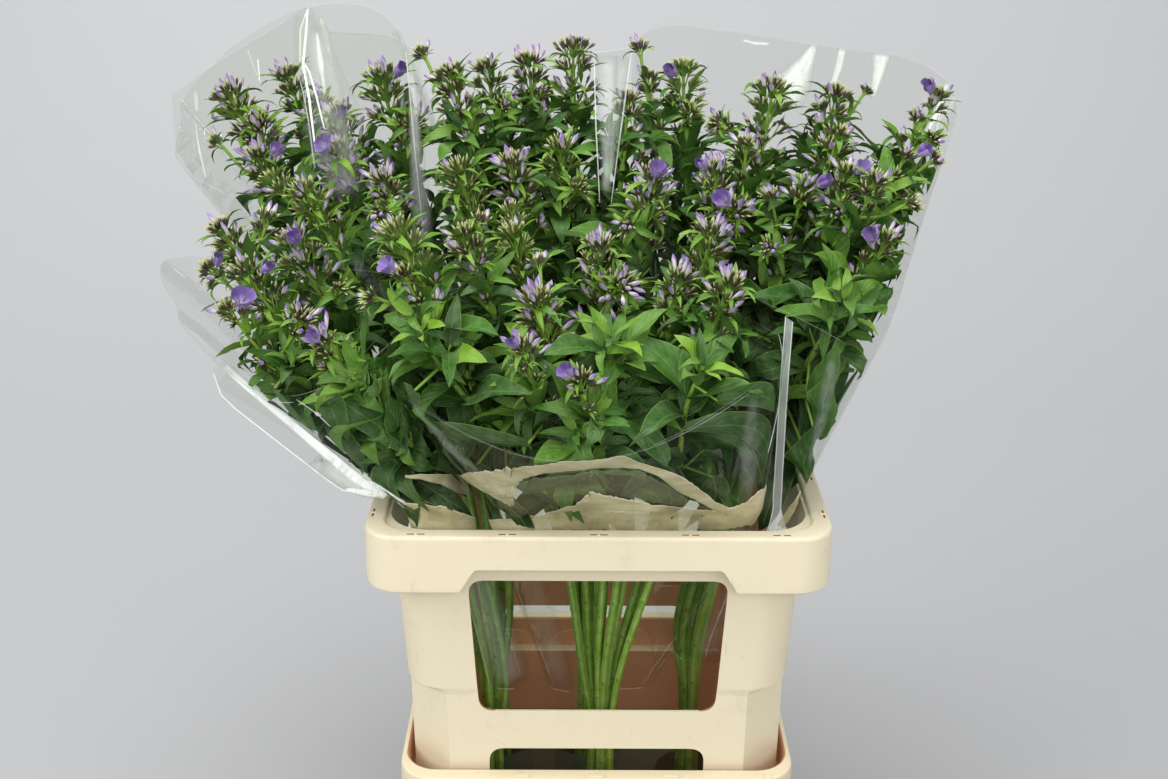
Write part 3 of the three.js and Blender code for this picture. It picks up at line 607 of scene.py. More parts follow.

# %% [markdown]
# The cuts and the bevels are modifiers, and each is turned into plain mesh before the next one.
# A shell's faces that look inward get a material of their own, a reddish brown that glows faintly:
# painted shade and painted bounced light, for the plastic itself is no browner inside.

# %% Cutting, rounding and colouring a shell
def apply_all(thing):
    """Turns the modifiers of an object into its mesh."""
    bpy.context.view_layer.update()
    graph = bpy.context.evaluated_depsgraph_get()
    mesh = bpy.data.meshes.new_from_object(thing.evaluated_get(graph))
    thing.modifiers.clear()
    thing.data = mesh


def cut_away(thing, cutters):
    """Cuts each block out of the object and removes the block."""
    for cutter in cutters:
        cut = thing.modifiers.new("cut", "BOOLEAN")
        cut.operation = "DIFFERENCE"
        cut.solver = "EXACT"
        cut.object = cutter
        apply_all(thing)
        bpy.data.objects.remove(cutter)


def soften(thing, width, segments=3):
    """Rounds every sharp edge a little and smooths the shading."""
    bevel = thing.modifiers.new("bevel", "BEVEL")
    bevel.width = width * MM
    bevel.segments = segments
    bevel.limit_method = "ANGLE"
    bevel.angle_limit = math.radians(SHARP_DEGREES)
    bevel.harden_normals = False
    apply_all(thing)
    for face in thing.data.polygons:
        face.use_smooth = True
    even = thing.modifiers.new("even", "WEIGHTED_NORMAL")
    even.keep_sharp = False
    apply_all(thing)


def coat(thing, plastic, half_x, half_y, low, high):
    """Covers a shell in plastic, and faces that look inward in the painted shade and glow of the
    inside. The last four numbers are the room, in metres, in which such a face lies."""
    thing.data.materials.clear()
    thing.data.materials.append(plastic)
    thing.data.materials.append(INSIDE_PAINTED_SHADE)
    for face in thing.data.polygons:
        x, y, z = face.center
        inward = face.normal.x * x + face.normal.y * y < 0
        if inward and abs(x) < half_x and abs(y) < half_y and low < z < high:
            face.material_index = 1


print("edges sharper than", SHARP_DEGREES, "degrees are rounded")

# %% [markdown]
# The collar's section goes up the outside, over the rim and down the inside. Under the rim the
# skirt is cut back over each window, and the foot has a low cut-out in front and behind.

# %% The collar
WINDOW_CORNER = 14
FRONT_WINDOW = ((-106, 257.5), (106, 257.5), (113, SKIRT), (-113, SKIRT))
SIDE_WINDOW = ((-72, 257.5), (72, 257.5), (78, SKIRT), (-78, SKIRT))
FOOT_CUTOUT = ((-98, 120), (98, 120), (98, 217), (-98, 217))


def collar_rings():
    """The collar's section: up the outside, over the rim and down the inside."""
    x, y = RIM_HALF
    top = COLLAR_TOP
    outside = [level(170, 130, 36, COLLAR_FOOT, True), level(171, 132, 36, STEP - 5, True),
               level(171.6, 132.8, 36.6, STEP + 1), level(172.6, 134, 37, STEP + 4),
               level(178.6, 138, 36, SKIRT), level(180.4, 140, 36, top - 4)]
    rim = [level(x + out, y + out, corner, z) for out, corner, z in (
        (-3.5, 28, top - 4), (-3, 29, SKIRT + 3), (-2.4, 30, SKIRT + 0.6), (-1.2, 30.5, SKIRT),
        (0.2, 31.5, SKIRT + 1.6), (0.5, 32, SKIRT + 5), (0, 30, top - 4), (-0.5, 29.5, top - 2),
        (-1.6, 28.4, top - 0.5), (-3.4, 27, top))]
    inside = [level(x - 14, y - 13, 25, top), level(x - 16, y - 15, 24, top - 1.2),
              level(x - 17.4, y - 16.4, 25, top - 4), level(177.2, 137, 33, top - 14),
              level(175.6, 135, 33, SKIRT), level(169.6, 131, 34, STEP + 2),
              level(168.2, 129.4, 34, STEP - 6, True), level(167, 127, 34, COLLAR_FOOT, True)]
    return outside + rim + inside


def notch_outline(half):
    """The skirt is cut back over a window to this outline."""
    return ((-half - 18, SKIRT - 6), (half + 18, SKIRT - 6), (half, NOTCH_TOP), (-half, NOTCH_TOP))


def make_collar():
    """The collar, with its windows, cut-outs and notches."""
    collar = stand_in("collar_shell", ring_mesh("collar_shell", collar_rings(), True), ["collar"])
    blocks = [prism(rounded_outline(outline, WINDOW_CORNER), -far, far, quarters)
              for outline, far, quarters in ((FRONT_WINDOW, 150, 0), (SIDE_WINDOW, 190, 1),
                                             (FOOT_CUTOUT, 150, 0))]
    for quarters in range(4):
        half = 70 if quarters % 2 else 105
        reach = RIM_HALF[0] if quarters % 2 else RIM_HALF[1]
        outline = rounded_outline(notch_outline(half), 4)
        blocks.append(prism(outline, -reach - 4, -reach + 12, quarters))
    cut_away(collar, blocks)
    soften(collar, 0.9)
    coat(collar, CREAM, 0.1775, 0.1375, 0.0, 0.37)
    return collar


collar = make_collar()
print("collar faces:", len(collar.data.polygons))

# %% [markdown]
# The lower bucket carries the collar on a ledge inside its broad folded rim.

# %% Bucket
BUCKET_WALL = 3.0


def make_bucket():
    """The tapered bucket with its ledge and broad folded rim."""
    rim, wall = BUCKET_RIM, BUCKET_WALL
    levels = ((140, 102, 29, 0), (141.6, 103.6, 30, 1), (142.4, 104.4, 30, 3), (164, 125, 34, 150),
              (166, 127, 34.4, 154), (176, 136, 35.6, 161), (178, 138, 36, 164),
              (178, 140, 36, rim - 26), (179, 143, 35.6, rim - 25.4), (180.6, 150.4, 34, rim - 24),
              (181, 151, 34, rim - 22), (180.5, 150.5, 32, rim - 3), (180, 150, 31.6, rim - 1),
              (178, 148, 30, rim), (176.4, 137, 30, rim), (174.8, 135.2, 30, rim - 1.6),
              (174, 134.5, 30, COLLAR_FOOT - 0.3), (162, 121, 32, COLLAR_FOOT - 0.3),
              (164 - wall, 125 - wall, 32, 150), (142 - wall, 104 - wall, 28, wall))
    rings = [level(*values) for values in levels]
    bucket = stand_in("bucket_shell", ring_mesh("bucket_shell", rings, False), ["bucket"])
    soften(bucket, 0.6, 2)
    coat(bucket, TAN, 0.176, 0.1365, 0.01, 0.1975)
    return bucket


print("bucket faces:", len(make_bucket().data.polygons))

# %% [markdown]
# Round the collar's rim run pairs of short slots where the next collar up would lock on. They are
# thin dark boxes, painted shadow. Between the two slots of a pair is a low lug, and the bucket's own
# rim has three.

# %% Slots and lugs
SLOT_PITCH = 76.9
SLOT_EDGE = 5.4
SLOT_APART = 4.4
SLOT_HALF = 3.1


def box_at(made, low, high, quarters=0):
    """Adds a box between two corners, in millimetres, turned about Z."""
    size = Vector(high) - Vector(low)
    middle = (Vector(high) + Vector(low)) / 2
    matrix = Matrix.Translation(middle * MM) @ Matrix.Diagonal((*(size * MM), 1))
    verts = bmesh.ops.create_cube(made, size=1, matrix=matrix)["verts"]
    bmesh.ops.rotate(made, verts=verts, matrix=Matrix.Rotation(quarters * QUARTER, 3, "Z"))


def slot_pairs():
    """Each pair's side of the rim, as quarter turns, how far out that side is, and its middle."""
    x, y = RIM_HALF
    for quarters, reach, half_count in ((0, y, 2), (1, x, 1.5), (2, y, 2), (3, x, 1.5)):
        for k in range(int(2 * half_count + 1)):
            yield quarters, reach, (k - half_count) * SLOT_PITCH


def moulded(name, made, rounding, plastic):
    """A piece with no solid of its own, made of boxes with rounded edges."""
    piece = stand_in(name, mesh_of(name, made), [])
    soften(piece, rounding, 2)
    piece.data.materials.append(plastic)
    return len(piece.data.polygons)


def make_slots():
    """Pairs of short slots just inside the outer edge of the collar's rim, as thin dark boxes of painted
    shadow.
    """
    made = bmesh.new()
    for quarters, reach, middle in slot_pairs():
        for a in (middle - SLOT_APART, middle + SLOT_APART):
            box_at(made, (a - SLOT_HALF, -reach + SLOT_EDGE - 0.9, COLLAR_TOP - 2.2),
                   (a + SLOT_HALF, -reach + SLOT_EDGE + 0.9, COLLAR_TOP + 0.12), quarters)
    return moulded("rim_slots", made, 0.25, SLOT_PAINTED_SHADE)


def make_lugs():
    """Small raised lugs: one between the slots of each pair, and three on the bucket's rim."""
    made = bmesh.new()
    for quarters, reach, middle in slot_pairs():
        box_at(made, (middle - 0.9, -reach + 3.6, COLLAR_TOP - 2),
               (middle + 0.9, -reach + 7.6, COLLAR_TOP + 0.7), quarters)
    for middle in (-68, 0, 68):
        box_at(made, (middle - 7, -149, BUCKET_RIM - 2), (middle + 7, -145.5, BUCKET_RIM + 1.6))
    return moulded("moulded_lugs", made, 0.4, CREAM)


print("slot faces:", make_slots(), "lug faces:", make_lugs())

# %% [markdown]
# Water needs only what a real surface of still water has: clear, smooth, slightly green. The bare
# card gets a faint tooth. Both keep their solids' shapes, so they only change their material.

# %% Water and card
def make_water_material():
    """Clear still water with a faint green body."""
    material, g = new_material("bucket_water", 0.04, 0.5)
    still = g.bump(g.noise(g.where(), 30.0, 2.0), 0.1, 0.002)
    g.wear(Base_Color=(0.10, 0.14, 0.10, 1), Alpha=0.55, Normal=still)
    return material


def make_card_material():
    """Uncoated white card with a faint tooth and soft shading from handling."""
    material, g = new_material("bare_card", 0.8, 0.2)
    where = g.where()
    tooth = g.noise(where, 1400.0, 3.0)
    tone = g.blend(g.ramp(g.noise(where, 40.0), 0.4, 0.8), (0.86, 0.87, 0.88, 1), (0.80, 0.80, 0.79, 1))
    g.wear(Base_Color=tone, Normal=g.bump(tooth, 0.2, 0.0001))
    return material


def dress(node, material):
    """Gives a CAD node that stays a better material."""
    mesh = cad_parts[node].data
    mesh.materials.clear()
    mesh.materials.append(material)


dress("water", make_water_material())
dress("blank_label", make_card_material())
print("dressed: water, blank_label")

# %% [markdown]
# Five bunches stand close together, so their places are driving values, in millimetres, the same
# ones that the solids use. A sleeve is given by four corners at its lower end, at the collar's
# rim and at its mouth. A flower head is a few clusters of buds, each a centre and a radius, with
# the kind of its buds: dark, lilac, mixed or green.

# %% The five bunches
BUNCHES = [
    {"name": "front", "foot": (5, -62),
     "lower": [(-47, -110, 262), (57, -110, 268), (50, -14, 276), (-45, -14, 270)],
     "rim": [(-109, -134, 452), (160, -134, 452), (76, -4, 452), (-77, -4, 452)],
     "mouth": [(-194, -190, 602), (168, -192, 624), (78, -14, 622), (-138, -14, 622)],
     "lift": (-108, 0, 0, 0),
     "heads": [
         ("green", [(-165, -75, 675, 26)]),
         ("dark", [(-158, -110, 655, 15), (-180, -125, 645, 13)]),
         ("dark", [(-112, -62, 672, 20), (-102, -38, 680, 14)]),
         ("green", [(-72, -47, 668, 21), (-75, -20, 682, 18)]),
         ("lilac", [(-50, -120, 632, 25), (-50, -77, 655, 12)]),
         ("lilac", [(-60, -162, 610, 18)]),
         ("lilac", [(-15, -180, 592, 17)]),
         ("lilac", [(0, -63, 662, 22), (15, -92, 645, 21)]),
         ("mixed", [(65, -85, 642, 20)]),
         ("lilac", [(104, -108, 646, 20)]),
         ("lilac", [(92, -58, 672, 23)])],
     "shoots": [(-145, -140, 618, 13), (10, -137, 615, 15), (82, -158, 600, 17)]},
    {"name": "front_left", "foot": (-98, -62),
     "lower": [(-142, -112, 270), (-64, -112, 266), (-60, -16, 272), (-142, -16, 276)],
     "rim": [(-169, -127, 452), (-116, -134, 452), (-83, -4, 452), (-176, -4, 452)],
     "mouth": [(-322, -170, 616), (-202, -192, 598), (-150, -16, 632), (-396, -16, 652)],
     "lift": (-32, 0, 0, 0),
     "heads": [
         ("dark", [(-318, -44, 672, 20), (-288, -30, 678, 17)]),
         ("dark", [(-285, -105, 652, 24), (-316, -100, 657, 16)]),
         ("lilac", [(-252, -64, 662, 28), (-218, -92, 642, 14)]),
         ("dark", [(-295, -138, 634, 16), (-243, -142, 628, 18)]),
         ("lilac", [(-218, -152, 612, 20)])],
     "shoots": [(-196, -160, 598, 14)]},
    {"name": "back_left", "foot": (-100, 60),
     "lower": [(-142, 14, 270), (-64, 14, 274), (-62, 106, 268), (-142, 106, 264)],
     "rim": [(-176, 4, 452), (-80, 4, 452), (-47, 134, 452), (-171, 129, 452)],
     "mouth": [(-372, -2, 716), (-150, 0, 632), (-170, 152, 838), (-398, 152, 768)],
     "lift": (0, -95, 48, 0),
     "heads": [
         ("dark", [(-335, 100, 757, 26), (-308, 78, 737, 22)]),
         ("dark", [(-286, 116, 773, 22), (-258, 102, 752, 20)]),
         ("lilac", [(-300, 32, 717, 21), (-338, 48, 731, 15)]),
         ("mixed", [(-233, 66, 746, 23)]),
         ("lilac", [(-198, 106, 771, 27), (-172, 76, 742, 20)]),
         ("lilac", [(-227, 22, 721, 25)]),
         ("green", [(-252, -12, 697, 22), (-281, -2, 707, 17)]),
         ("lilac", [(-186, -6, 706, 20), (-186, -34, 692, 15)])],
     "shoots": []},
    {"name": "back", "foot": (-8, 60),
     "lower": [(-52, 16, 274), (40, 16, 270), (35, 106, 266), (-50, 106, 270)],
     "rim": [(-74, 4, 452), (62, 4, 452), (0, 134, 452), (-43, 134, 452)],
     "mouth": [(-139, -4, 632), (66, -4, 632), (-8, 150, 742), (-142, 150, 742)],
     "lift": (0, -40, 0, -40),
     "heads": [
         ("dark", [(-130, 42, 787, 22), (-155, 66, 807, 12)]),
         ("mixed", [(-100, 78, 787, 21), (-86, 50, 765, 15)]),
         ("dark", [(-64, 108, 787, 23)]),
         ("mixed", [(-24, 134, 792, 27)]),
         ("green", [(-120, 0, 712, 23)]),
         ("lilac", [(-75, 10, 716, 22)]),
         ("green", [(-34, 38, 722, 24), (-20, 10, 702, 17)]),
         ("lilac", [(45, -2, 706, 24), (26, -34, 682, 13)]),
         ("mixed", [(25, 58, 765, 18)])],
     "shoots": []},
    {"name": "right", "foot": (95, 5),
     "lower": [(72, -62, 268), (137, -62, 262), (137, 72, 268), (54, 72, 274)],
     "rim": [(168, -124, 452), (172, -112, 452), (171, 128, 452), (8, 134, 452)],
     "mouth": [(177, -192, 640), (218, -176, 606), (356, 142, 790), (0, 152, 838)],
     "lift": (0, 0, 0, -105),
     "heads": [
         ("dark", [(46, 104, 777, 16), (38, 110, 804, 15)]),
         ("green", [(78, 110, 779, 24), (82, 84, 752, 16)]),
         ("mixed", [(154, 74, 766, 27), (112, 58, 750, 16)]),
         ("lilac", [(130, 32, 731, 17)]),
         ("lilac", [(101, 4, 711, 22), (116, -26, 692, 20)]),
         ("lilac", [(176, -5, 702, 17), (150, -12, 697, 13), (145, -50, 667, 13)]),
         ("dark", [(213, 84, 761, 24), (242, 94, 772, 8)]),
         ("mixed", [(210, 40, 736, 21)]),
         ("lilac", [(214, 0, 711, 20), (203, -26, 692, 15)]),
         ("dark", [(305, 82, 766, 17), (286, 66, 751, 12), (296, 48, 740, 13)]),
         ("dark", [(266, 16, 727, 12), (288, 12, 727, 12)]),
         ("dark", [(230, -40, 716, 18), (254, -56, 706, 15)]),
         ("mixed", [(238, -62, 672, 18)])],
     "shoots": [(200, -104, 637, 14)]},
]
BUNDLE_TOP = 215.0
BUNDLE_RADIUS = 15.0
RIM_SPREAD = 0.53
AIM_HEIGHT = 330.0
print("flower heads:", sum(len(b["heads"]) for b in BUNCHES))

# %% [markdown]
# A stem starts in the water, presses against its neighbours at the collar's waist, and fans out
# in the same order as the heads, so that no two cross. The head leans away from its own bunch.

# %% Stems as curves
def head_axis(bunch, clusters):
    """The way a head points, the centre of its top cluster and where its stalk starts."""
    aim = np.array([*bunch["foot"], AIM_HEIGHT], float)
    top = np.array(clusters[0][:3], float)
    axis = unit(top - aim)
    drop = clusters[0][3] + 14.0
    for *place, radius in clusters[1:]:
        drop = max(drop, (top - np.array(place)) @ axis + 0.9 * radius + 8)
    return axis, top, top - drop * axis


def stem_ends(bunch):
    """The upper end of each stem, with its direction there. Leafy shoots come last."""
    heads = [head_axis(bunch, clusters) for _, clusters in bunch["heads"]]
    shoots = [head_axis(bunch, [shoot]) for shoot in bunch["shoots"]]
    return [(axis, base) for axis, _, base in heads] + [(axis, top) for axis, top, _ in shoots]


def stem_curves(bunch):
    """Each stem's path from the bucket's floor to its head, in millimetres."""
    ends = stem_ends(bunch)
    tops = np.array([end for _, end in ends])
    centre = tops[:, :2].mean(0)
    spans = np.abs(tops[:, :2] - centre).max(0)
    span = np.hypot(*spans)
    rim = np.array(bunch["rim"], float)
    rim_centre = rim[:, :2].mean(0)
    rim_half = np.array([0.25 * (rim[1, 0] + rim[2, 0] - rim[0, 0] - rim[3, 0]),
                         0.5 * (rim[2, 1] - rim[0, 1])])
    rim_scale = (RIM_SPREAD * rim_half / spans).min()
    foot = np.array(bunch["foot"], float)
    paths = []
    for axis, end in ends:
        away = end[:2] - centre
        route = [(*(foot + 20 / span * away), 6.0),
                 (*(foot + (BUNDLE_RADIUS - 3) / span * away), 120.0),
                 (*(foot + (BUNDLE_RADIUS - 4) / span * away), BUNDLE_TOP - 25),
                 (*(foot + (BUNDLE_RADIUS + 6) / span * away), BUNDLE_TOP + 45),
                 (*(rim_centre + rim_scale * away), COLLAR_TOP - 18),
                 tuple(end - 40 * axis), tuple(end)]
        paths.append(smooth_path(route, 60))
    return paths


print("a stem's path in mm:", [round(v) for v in stem_curves(BUNCHES[0])[0][-1]])

# %% [markdown]
# A sleeve's outline is a smooth ring through its corners and the middles of its sides. Leaves may
# press against the film but never through it, so the room inside each sleeve is measured as a
# reach for every height and direction, and leaf points beyond it are drawn back.

# %% Sleeve outlines and the room inside
def sleeve_ring(corners, lift, count):
    """count points round a sleeve, through its corners and the middles of its sides."""
    corners = np.array(corners, float)
    guides = []
    for i in range(4):
        middle = (corners[i] + corners[(i + 1) % 4]) / 2
        middle[2] += lift[i]
        guides += [corners[i], middle]
    guides = np.array(guides)
    per = count // 8
    t = ((np.arange(per) + 0.5) / per)[:, None]
    a, c = 0.5 * (1 - t) ** 2, 0.5 * t ** 2
    ring = [a * guides[i - 1] + (1 - a - c) * guides[i] + c * guides[(i + 1) % 8] for i in range(8)]
    return np.vstack(ring)


def sleeve_rows(bunch, count=96):
    """The sleeve's three outlines: lower end, collar's rim and mouth."""
    flat = (0, 0, 0, 0)
    return (sleeve_ring(bunch["lower"], flat, count), sleeve_ring(bunch["rim"], flat, count),
            sleeve_ring(bunch["mouth"], bunch["lift"], count))


class Room:
    """How far the film is from a sleeve's middle line, by height and direction."""
    HEIGHTS = np.linspace(262, 900, 40)
    ANGLES = np.linspace(-math.pi, math.pi, 97)

    def __init__(self, bunch):
        lower, rim, mouth = sleeve_rows(bunch)
        self.middles, self.reach = [], []
        for z in self.HEIGHTS:
            low, high = (lower, rim) if z < COLLAR_TOP + 4 else (rim, mouth)
            t = (z - low[:, 2]) / (high[:, 2] - low[:, 2])
            ring = low[:, :2] + t[:, None] * (high[:, :2] - low[:, :2])
            middle = ring.mean(0)
            spoke = ring - middle
            angle = np.arctan2(spoke[:, 1], spoke[:, 0])
            order = np.argsort(angle)
            far = np.hypot(*spoke.T)
            self.middles.append(middle)
            self.reach.append(np.interp(self.ANGLES, angle[order], far[order], period=2 * math.pi))
        self.middles, self.reach = np.array(self.middles), np.array(self.reach)

    def keep_in(self, points, margin):
        """Draws points that lie outside the film back to margin inside it."""
        flat = points.reshape(-1, 3).copy()
        step = (flat[:, 2] - self.HEIGHTS[0]) / (self.HEIGHTS[1] - self.HEIGHTS[0])
        step = np.clip(step, 0, len(self.HEIGHTS) - 1.001)
        row = step.astype(int)
        part = (step - row)[:, None]
        middle = (1 - part) * self.middles[row] + part * self.middles[row + 1]
        spoke = flat[:, :2] - middle
        angle = np.arctan2(spoke[:, 1], spoke[:, 0])
        turn = (angle + math.pi) / (2 * math.pi) * (len(self.ANGLES) - 1)
        column = np.clip(turn.astype(int), 0, len(self.ANGLES) - 2)
        share = turn - column
        part = part[:, 0]
        low = (1 - share) * self.reach[row, column] + share * self.reach[row, column + 1]
        high = (1 - share) * self.reach[row + 1, column] + share * self.reach[row + 1, column + 1]
        limit = (1 - part) * low + part * high - margin
        far = np.hypot(*spoke.T)
        keep = np.where(far > limit, limit / np.maximum(far, 1e-6), 1.0)
        flat[:, :2] = middle + spoke * keep[:, None]
        return flat.reshape(points.shape)


ROOMS = {bunch["name"]: Room(bunch) for bunch in BUNCHES}
print("room inside a sleeve at the rim, mm:", ROOMS["front"].reach[12].round(0)[::24])

# %% [markdown]
# The film itself is one grid for each sleeve, with soft folds that run up it. Everything that
# lies on the film is placed by two shares, how far round the sleeve and how far up.

# %% Sleeves as grids
FILM_ROWS = 50
FILM_COLUMNS = 160
RIM_SHARE = 0.42


def film_grid(bunch, seed):
    """A sleeve as a grid: straight from end to end, with long soft folds that deepen at the rim."""
    lower, rim, mouth = sleeve_rows(bunch, FILM_COLUMNS)
    turn = np.linspace(0, 2 * math.pi, FILM_COLUMNS, endpoint=False)
    rows = []
    for t in np.linspace(0, 1, FILM_ROWS):
        if t < RIM_SHARE:
            ring = lower + (rim - lower) * (t / RIM_SHARE)
        else:
            ring = rim + (mouth - rim) * ((t - RIM_SHARE) / (1 - RIM_SHARE))
        middle = ring.mean(0)
        spoke = unit((ring - middle) * [1, 1, 0])
        near = math.exp(-((t - RIM_SHARE) / 0.12) ** 2)
        fold = np.sin(11 * turn + 5 * t + 6 * draw(seed, 1)) + 0.6 * np.sin(23 * turn - 4 * t)
        ripple = np.sin(6 * turn + 2.5 * np.sin(2 * turn + seed) + 3 * t)
        inward = 0.6 + near * (1.4 + 0.8 * fold) + 1.4 * t * (1 + ripple)
        rows.append(ring - spoke * np.maximum(inward, 0.3)[:, None])
    grid = np.array(rows)
    return np.concatenate([grid, grid[:, :1]], 1)


def on_film(grid, across, along):
    """Points on a film at shares across and along its grid, and the way out of the sleeve."""
    last_row, last_column = grid.shape[0] - 1, grid.shape[1] - 1
    column = np.asarray(across, float) % 1.0 * last_column
    row = np.clip(along, 0, 1) * (last_row - 0.001)
    i, j = row.astype(int), np.minimum(column.astype(int), last_column - 1)
    u, v = (row - i)[..., None], (column - j)[..., None]
    place = ((1 - u) * (1 - v) * grid[i, j] + u * (1 - v) * grid[i + 1, j]
             + (1 - u) * v * grid[i, j + 1] + u * v * grid[i + 1, j + 1])
    normal = unit(np.cross(grid[i, j + 1] - grid[i, j], grid[i + 1, j] - grid[i, j]))
    return place, normal


FILM_GRIDS = {bunch["name"]: film_grid(bunch, seed) for seed, bunch in enumerate(BUNCHES)}
print("points in a sleeve:", FILM_GRIDS["front"].shape)

# %% [markdown]
# Plant parts carry a few numbers at each point. For a leaf they are chance and age. For a stem
# they are chance, how much of a twig it is and how near a node is. For a bud they are ripeness,
# chance, and how dark its calyx is. The materials turn these numbers and the place on the grid
# into colour, so one material serves hundreds of parts.

# %% Leaf material
LEAF_YOUNG = ((0.082, 0.248, 0.005, 1), (0.200, 0.390, 0.016, 1))
LEAF_GROWN = ((0.015, 0.092, 0.003, 1), (0.034, 0.156, 0.006, 1))
LEAF_OLD = ((0.004, 0.029, 0.002, 1), (0.010, 0.054, 0.004, 1))
SIDE_VEINS = 8.0
MIDDLE = 0.5


def leaf_veins(g):
    """How much of a vein a point is, how far it lies off the midrib, and the swell between."""
    across, along = place_of(g)
    off = g.off(across, MIDDLE)
    midrib = g.minus(1.0, g.ramp(off, 0.010, 0.045))
    bow = g.minus(along, g.times(off, 0.55))
    near = g.off(g.maths("FRACT", g.times(bow, SIDE_VEINS)), 0.5)
    side = g.minus(1.0, g.ramp(near, 0.0, 0.10))
    veins = g.maths("MAXIMUM", midrib, g.times(side, 0.12))
    swell = g.minus(g.times(g.ramp(near, 0.0, 0.4), 0.8), veins)
    return veins, off, swell


def make_leaf():
    """A leaf: pale midrib, side veins that bow to the tip, darker with age, paler underneath."""
    material, g = new_material("phlox_leaf", 0.48, 0.15)
    chance, age, *_ = tint_of(g)
    young, grown, old = (g.blend(chance, *pair) for pair in (LEAF_YOUNG, LEAF_GROWN, LEAF_OLD))
    skin = g.blend(g.ramp(age, 0.0, 0.55), young, grown)
    skin = g.blend(g.ramp(age, 0.5, 1.0), skin, old)
    body = effect(g, MOTTLE, Color=skin, Scale=55.0, Amount=0.32)
    veins, off, swell = leaf_veins(g)
    pale = g.blend(0.38, body["Color"], (0.30, 0.50, 0.10, 1))
    colour = g.blend(g.times(veins, 0.55), body["Color"], pale)
    # A pale band along the leaf's edge: a painted highlight.
    rim = g.ramp(off, 0.470, 0.497)
    colour = g.blend(g.times(rim, 0.55), colour, (0.30, 0.48, 0.07, 1))
    under = g.blend(0.40, colour, (0.10, 0.22, 0.045, 1))
    back = g.node("NewGeometry").outputs["Backfacing"]
    rough = g.plus(g.times(body["Mask"], 0.2), 0.36)
    g.wear(Base_Color=g.blend(back, colour, under), Normal=g.bump(swell, 0.38, 0.0012), Roughness=rough)
    return material


LEAF = make_leaf()
print("made:", LEAF.name)

# %% [markdown]
# A phlox stem is ribbed and green, with a pale ring at each node and a small dark scar on two
# sides of it, where the leaves were.

# %% Stem material
RIBS = 15.7


def make_stem():
    """A stem: green with pale ribs, pale at its nodes, yellower in the flower head."""
    material, g = new_material("phlox_stem", 0.45, 0.45)
    chance, twig, knot, _ = tint_of(g)
    across, _ = place_of(g)
    rib = g.maths("ABSOLUTE", g.maths("SINE", g.times(across, RIBS)))
    fresh = g.blend(rib, (0.25, 0.50, 0.036, 1), (0.38, 0.64, 0.075, 1))
    dull = g.blend(rib, (0.11, 0.26, 0.022, 1), (0.19, 0.38, 0.04, 1))
    body = effect(g, MOTTLE, Color=g.blend(chance, fresh, dull), Scale=90.0, Amount=0.35)
    colour = g.blend(g.times(knot, 0.45), body["Color"], (0.30, 0.42, 0.11, 1))
    bud = g.off(g.maths("FRACT", g.times(across, 2.0)), 0.5)
    scar = g.times(g.ramp(bud, 0.16, 0.06), g.ramp(knot, 0.2, 0.7))
    colour = g.blend(g.times(scar, 0.50), colour, (0.06, 0.045, 0.015, 1))
    colour = g.blend(twig, colour, (0.19, 0.32, 0.030, 1))
    g.wear(Base_Color=colour, Normal=g.bump(rib, 0.2, 0.0006))
    return material


STEM = make_stem()
print("made:", STEM.name)

# %% [markdown]
# Furled petals wrap round each other, so a ripe bud has slanting seams of darker violet. A calyx
# is five dark teeth with pale skin between them.

# %% Bud, calyx and petal materials
VIOLET = ((0.110, 0.045, 0.250, 1), (0.300, 0.190, 0.480, 1))
LILAC_WHITE = (0.740, 0.680, 0.700, 1)
CREAM_GREEN = (0.330, 0.380, 0.100, 1)
CREAM_TIP = (0.66, 0.65, 0.42, 1)


def make_bud():
    """A furled bud: cream and green while young, and white-lilac with violet seams when ripe."""
    material, g = new_material("phlox_bud", 0.5, 0.35)
    ripe, chance, *_ = tint_of(g)
    across, along = place_of(g)
    is_ripe = g.ramp(ripe, 0.25, 0.6)
    foot = g.blend(is_ripe, CREAM_GREEN, LILAC_WHITE)
    tip = g.blend(is_ripe, CREAM_TIP, g.blend(chance, *VIOLET))
    begin = g.minus(0.48, g.times(ripe, 0.25))
    colour = g.blend(g.ramp(along, begin, 1.02), foot, tip)
    twist = g.plus(g.times(across, 3.0), g.times(along, 1.1))
    seam = g.off(g.maths("FRACT", twist), 0.5)
    edge = g.times(g.minus(1.0, g.ramp(seam, 0.06, 0.30)), is_ripe)
    colour = g.blend(g.times(edge, g.ramp(along, 0.35, 0.75)), colour, g.blend(chance, *VIOLET))
    g.wear(Base_Color=colour, Normal=g.bump(seam, 0.4, 0.0006))
    return material


def make_calyx():
    """A calyx: narrow dark teeth with thin pale skin between them, on a green foot."""
    material, g = new_material("phlox_calyx", 0.5, 0.35)
    _, chance, dark, _ = tint_of(g)
    across, along = place_of(g)
    tooth = g.maths("ABSOLUTE", g.maths("COSINE", g.times(across, 15.708)))
    dye = g.blend(chance, (0.034, 0.010, 0.026, 1), (0.100, 0.034, 0.062, 1))
    green = g.blend(chance, (0.10, 0.19, 0.025, 1), (0.30, 0.38, 0.08, 1))
    share = g.times(dark, g.ramp(tooth, 0.02, 0.38), clamp=True)
    foot = g.ramp(along, 0.28, 0.02)
    colour = g.blend(g.times(foot, 0.7), g.blend(share, green, dye), (0.20, 0.32, 0.04, 1))
    g.wear(Base_Color=colour, Normal=g.bump(tooth, 0.3, 0.0005))
    return material


